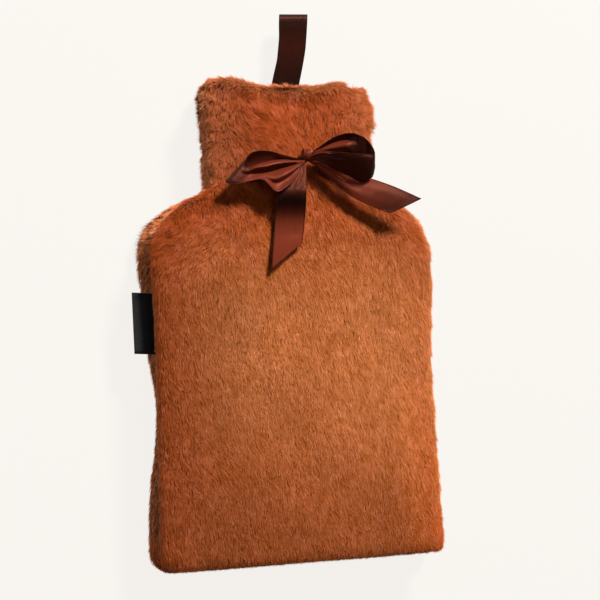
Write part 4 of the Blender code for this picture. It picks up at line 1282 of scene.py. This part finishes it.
BOW_TAIL_RIGHT = (
    ((8.3, 137.9, 48.6), (8.2, 137.5, 48.8), (8.3, 137.2, 48.4),
     (8.2, 136.8, 48.6), (8.3, 136.6, 48.2)),
    ((17.6, 135.5, 50.6), (16.3, 134.7, 51.0), (15.4, 134.2, 50.2),
     (14.4, 133.6, 50.4), (13.8, 133.2, 49.4)),
    ((27.3, 132.6, 52.2), (24.7, 131.0, 53.0), (23.0, 129.9, 51.8),
     (20.9, 128.6, 51.8), (19.3, 127.7, 50.2)),
    ((36.9, 128.8, 54.0), (33.6, 126.4, 55.0), (31.2, 124.4, 54.0),
     (28.6, 122.3, 53.6), (26.5, 120.7, 51.6)),
    ((45.5, 125.3, 56.0), (42.2, 121.9, 56.8), (39.5, 118.8, 56.0),
     (36.7, 115.8, 55.4), (34.5, 113.3, 53.2)),
    ((56.0, 121.5, 59.0), (52.5, 117.6, 58.9), (49.3, 113.9, 58.0),
     (46.4, 110.4, 56.8), (43.9, 107.2, 54.8)),
    ((66.7, 117.2, 61.4), (62.9, 113.3, 61.0), (59.5, 109.5, 59.8),
     (56.3, 105.9, 58.3), (53.3, 102.6, 56.4)),
    ((77.1, 112.5, 63.0), (72.3, 108.8, 62.4), (68.0, 105.5, 61.2),
     (63.7, 102.5, 59.7), (59.6, 99.8, 58.0)),
    ((87.7, 107.6, 63.8), (81.7, 104.8, 63.2), (75.9, 102.2, 62.2),
     (70.4, 99.8, 60.8), (65.0, 97.7, 59.4)),
)
# painted light and shade from row to row: painted shade on the loops' inner faces, their turns and
# the right loop's front layer, a painted shadow across the left tail under the left loop, painted
# light on the lower left tail and the right tail's root, and painted shade towards the right tail's
# end
LEFT_LOOP_PAINTED_SHADING = (0.6,) * 6 + (0.45, 0.3, 0.3, 0.5) + (1.0,) * 7
RIGHT_LOOP_PAINTED_SHADING = (0.8, 0.85, 0.9, 0.9, 0.6) + (0.15,) * 7 + (0.2, 0.45, 0.8, 0.8)
LEFT_TAIL_PAINTED_SHADING = (0.7, 0.8, 0.65, 0.2, 0.02, 0.6, 1.1, 1.25, 1.15)
RIGHT_TAIL_PAINTED_SHADING = (1.4, 1.6, 1.5, 1.3, 1.1, 1.0, 0.7, 0.4, 0.3)
for name, node, net, painted_shading, held in (
    ("bow_left_loop", "bow_loop_left", BOW_LOOP_LEFT, LEFT_LOOP_PAINTED_SHADING, "folded"),
    ("bow_right_loop", "bow_loop_right", BOW_LOOP_RIGHT, RIGHT_LOOP_PAINTED_SHADING, "folded"),
    ("bow_left_tail", "bow_tail_left", BOW_TAIL_LEFT, LEFT_TAIL_PAINTED_SHADING, "draped"),
    ("bow_right_tail", "bow_tail_right", BOW_TAIL_RIGHT, RIGHT_TAIL_PAINTED_SHADING, "draped"),
):
    piece, run = ribbon(name, net, 8, 8, satin, painted_shading=painted_shading)
    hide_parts(node)

# The knot: ribbon wrapped tightly round the pleats, its folds running slantwise over it.
KNOT_CENTRE = (7.3, 141.2, 48.6)
KNOT_SIZE = (7.6, 8.8, 9.4)
KNOT_FOLDS = 2.2
KNOT_TWIST = 0.9
KNOT_ROUNDS, KNOT_RINGS = 48, 26
FOLD_RISE, FOLD_FALL = 0.75, 0.82  # a fold rises up to the one share of it and falls from the other
FOLD_LEVEL, FOLD_HEIGHT = 0.4, 0.30
KNOT_BARREL, KNOT_ENDS = 0.5, 0.8  # powers under 1 make its form fuller than a ball's
KNOT_PINCH = 0.14
KNOT_LEAN = (0.12, 0.1)
KNOT_ON_RIBBON = 0.01  # shifts its UV map over the ribbon's width, in metres
# painted shade: the knot is a little darker all over
KNOT_PAINTED_SHADE = 0.9

points, faces = [], []
for ring in range(1, KNOT_RINGS):
    lean = math.pi * (ring / KNOT_RINGS - 0.5)
    for step in range(KNOT_ROUNDS):
        turn = math.tau * step / KNOT_ROUNDS
        wrap = (KNOT_FOLDS * ring / KNOT_RINGS + (turn + KNOT_TWIST) / math.tau) % 1.0
        fold = smooth_step(0.0, FOLD_RISE, wrap) - smooth_step(FOLD_FALL, 1.0, wrap) - FOLD_LEVEL
        girth = math.cos(lean) ** KNOT_BARREL * (1.0 + FOLD_HEIGHT * fold)
        reach = math.copysign(abs(math.sin(lean)) ** KNOT_ENDS, lean)
        x = KNOT_SIZE[0] / 2 * reach * (1.0 - KNOT_PINCH * abs(math.sin(turn)))
        y = KNOT_SIZE[1] / 2 * girth * math.cos(turn)
        z = KNOT_SIZE[2] / 2 * girth * math.sin(turn)
        points.append((x + KNOT_LEAN[0] * y, y - KNOT_LEAN[1] * x, z))
rings = KNOT_RINGS - 1
for ring in range(rings - 1):
    for step in range(KNOT_ROUNDS):
        a, b = ring * KNOT_ROUNDS + step, ring * KNOT_ROUNDS + (step + 1) % KNOT_ROUNDS
        faces.append((a, a + KNOT_ROUNDS, b + KNOT_ROUNDS, b))
points += [(-KNOT_SIZE[0] / 2, 0.0, 0.0), (KNOT_SIZE[0] / 2, 0.0, 0.0)]
first, last = len(points) - 2, len(points) - 1
top = (rings - 1) * KNOT_ROUNDS
for step in range(KNOT_ROUNDS):
    follow = (step + 1) % KNOT_ROUNDS
    faces.append((first, step, follow))
    faces.append((last, top + follow, top + step))
where = (np.array(points) + np.array(KNOT_CENTRE)) * METRES_PER_MM
places = where[:, :2] + KNOT_ON_RIBBON
knot = cloth_piece("bow_wrap", where, faces, places, [KNOT_PAINTED_SHADE] * len(points), satin)
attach(knot, "root")
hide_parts("bow_knot")

# ==== Side label ================================================================================
# A black woven label, folded in half, with both its ends sewn into the left side seam. It is
# plain, in a close damask weave with a little lint on it.

LABEL_TOP_Y = 45.8
LABEL_FOOT_Y = 3.0
LABEL_PATH = (
    (1.3, 0.0, 24.45),
    (5.8, 0.3, 24.55),
    (12.4, 0.7, 24.85),
    (17.9, 1.0, 25.3),
    (18.9, 1.0, 24.9),
    (17.9, 1.0, 24.5),
    (12.4, 0.7, 24.05),
    (5.8, 0.3, 23.7),
    (1.3, 0.0, 23.6),
)
LABEL_THICKNESS = 0.4

woven, tree, shader = new_material(
    "woven_label", (0.012, 0.012, 0.013), Roughness=0.62, Specular_IOR_Level=0.2, Sheen_Weight=0.03
)
weave_map = add_node(tree, "ShaderNodeUVMap", uv_map="cloth").outputs["UV"]
cross = threads(tree, weave_map, 700.0, 900.0, 0.4)
black = blend(tree, cross, (0.006, 0.006, 0.007), (0.022, 0.022, 0.024))
matt = rescaled(tree, noise(tree, weave_map, 900.0)["Fac"], wanted=(0.5, 0.75))
feed(tree, shader, Base_Color=black, Roughness=matt, Normal=raised(tree, cross, 0.6, 0.0002))

rows = []
for out, up, height in LABEL_PATH:
    top = (-seam_half(LABEL_TOP_Y, -1) - out, LABEL_TOP_Y + up, height)
    foot = (-seam_half(LABEL_FOOT_Y, -1) - out, LABEL_FOOT_Y + up, height)
    rows.append((top, foot))
label, run = ribbon("seam_label", rows, 4, 16, woven, LABEL_THICKNESS)
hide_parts("side_label")

# ==== Floor, light and camera ===================================================================
# A plain pale floor and backdrop. One broad light comes from the upper right, a soft fill from
# over the front and a weak light from the left side.

FLOOR_COLOUR = (0.956, 0.930, 0.887)
floor_mesh = bpy.data.meshes.new("floor")
floor_mesh.from_pydata(
    [(-6.0, -6.0, 0.0), (6.0, -6.0, 0.0), (6.0, 6.0, 0.0), (-6.0, 6.0, 0.0)], [], [(0, 1, 2, 3)]
)
floor = bpy.data.objects.new("floor", floor_mesh)
bpy.context.scene.collection.objects.link(floor)
paper, tree, shader = new_material(
    "pale_floor", FLOOR_COLOUR, Roughness=1.0, Specular_IOR_Level=0.0, Emission_Strength=0.925
)
shader.inputs["Base Color"].default_value = (0.05, 0.049, 0.047, 1.0)
shader.inputs["Emission Color"].default_value = (*FLOOR_COLOUR, 1.0)
floor_mesh.materials.append(paper)

world = bpy.data.worlds.new("studio")
bpy.context.scene.world = world
world.use_nodes = True
tree = world.node_tree
backdrop = tree.nodes["Background"]
backdrop.inputs["Color"].default_value = (*FLOOR_COLOUR, 1.0)
ambient = add_node(
    tree, "ShaderNodeBackground", {"Color": (1.0, 0.97, 0.94, 1.0), "Strength": 0.06}
)
seen = add_node(tree, "ShaderNodeLightPath").outputs["Is Camera Ray"]
either = add_node(
    tree, "ShaderNodeMixShader", {0: seen, 1: ambient.outputs[0], 2: backdrop.outputs[0]}
)
tree.links.new(either.outputs[0], tree.nodes["World Output"].inputs["Surface"])


def looking(place, back, roll=0.0):
    """The matrix of a light or camera at a place, with what it looks at on the far side of back."""
    level = np.cross((0.0, 1.0, 0.0), back)
    level /= np.linalg.norm(level)
    upright = np.cross(back, level)
    right = level * math.cos(roll) - upright * math.sin(roll)
    up = level * math.sin(roll) + upright * math.cos(roll)
    turned = Matrix(np.stack([right, up, back], axis=1).tolist()).to_4x4()
    return Matrix.Translation(place) @ turned


# each light's name, place, aim, width of its disk, power in watts and colour
LIGHTS = (
    ("key", (0.62, 1.36, 1.21), (0.0, 0.02, 0.03), 0.42, 67.0, (1.0, 0.965, 0.92)),
    ("fill", (0.25, -0.10, 1.40), (0.0, 0.0, 0.03), 0.60, 2.2, (1.0, 0.97, 0.94)),
    ("side", (-1.30, 0.30, 0.34), (0.0, 0.0, 0.02), 0.80, 4.5, (1.0, 0.97, 0.94)),
)
for name, place, aim, size, power, colour in LIGHTS:
    lamp = bpy.data.lights.new(name, "AREA")
    lamp.shape = "DISK"
    lamp.size = size
    lamp.energy = power
    lamp.color = colour
    light = bpy.data.objects.new(name, lamp)
    back = np.array(place) - np.array(aim)
    light.matrix_world = looking(place, back / np.linalg.norm(back))
    bpy.context.scene.collection.objects.link(light)

# The camera looks at the front from a little to the left of square and below it.
CAMERA_YAW = math.radians(16.7)
CAMERA_PITCH = math.radians(4.4)
CAMERA_ROLL = math.radians(2.4)
CAMERA_DISTANCE = 0.9
CAMERA_AIM = (0.0013, 0.0384, 0.0380)
CAMERA_LENS, CAMERA_SENSOR = 75.7, 36.0

sideways = -math.sin(CAMERA_YAW) * math.cos(CAMERA_PITCH)
upward = math.cos(CAMERA_YAW) * math.cos(CAMERA_PITCH)
back = np.array([sideways, -math.sin(CAMERA_PITCH), upward])
camera_data = bpy.data.cameras.new("camera")
camera_data.lens = CAMERA_LENS
camera_data.sensor_width = CAMERA_SENSOR
camera = bpy.data.objects.new("camera", camera_data)
place = np.array(CAMERA_AIM) + back * CAMERA_DISTANCE
camera.matrix_world = looking(place, back, CAMERA_ROLL)
bpy.context.scene.collection.objects.link(camera)
bpy.context.scene.camera = camera

view = bpy.context.scene.view_settings
view.view_transform = "Standard"
view.look = "None"
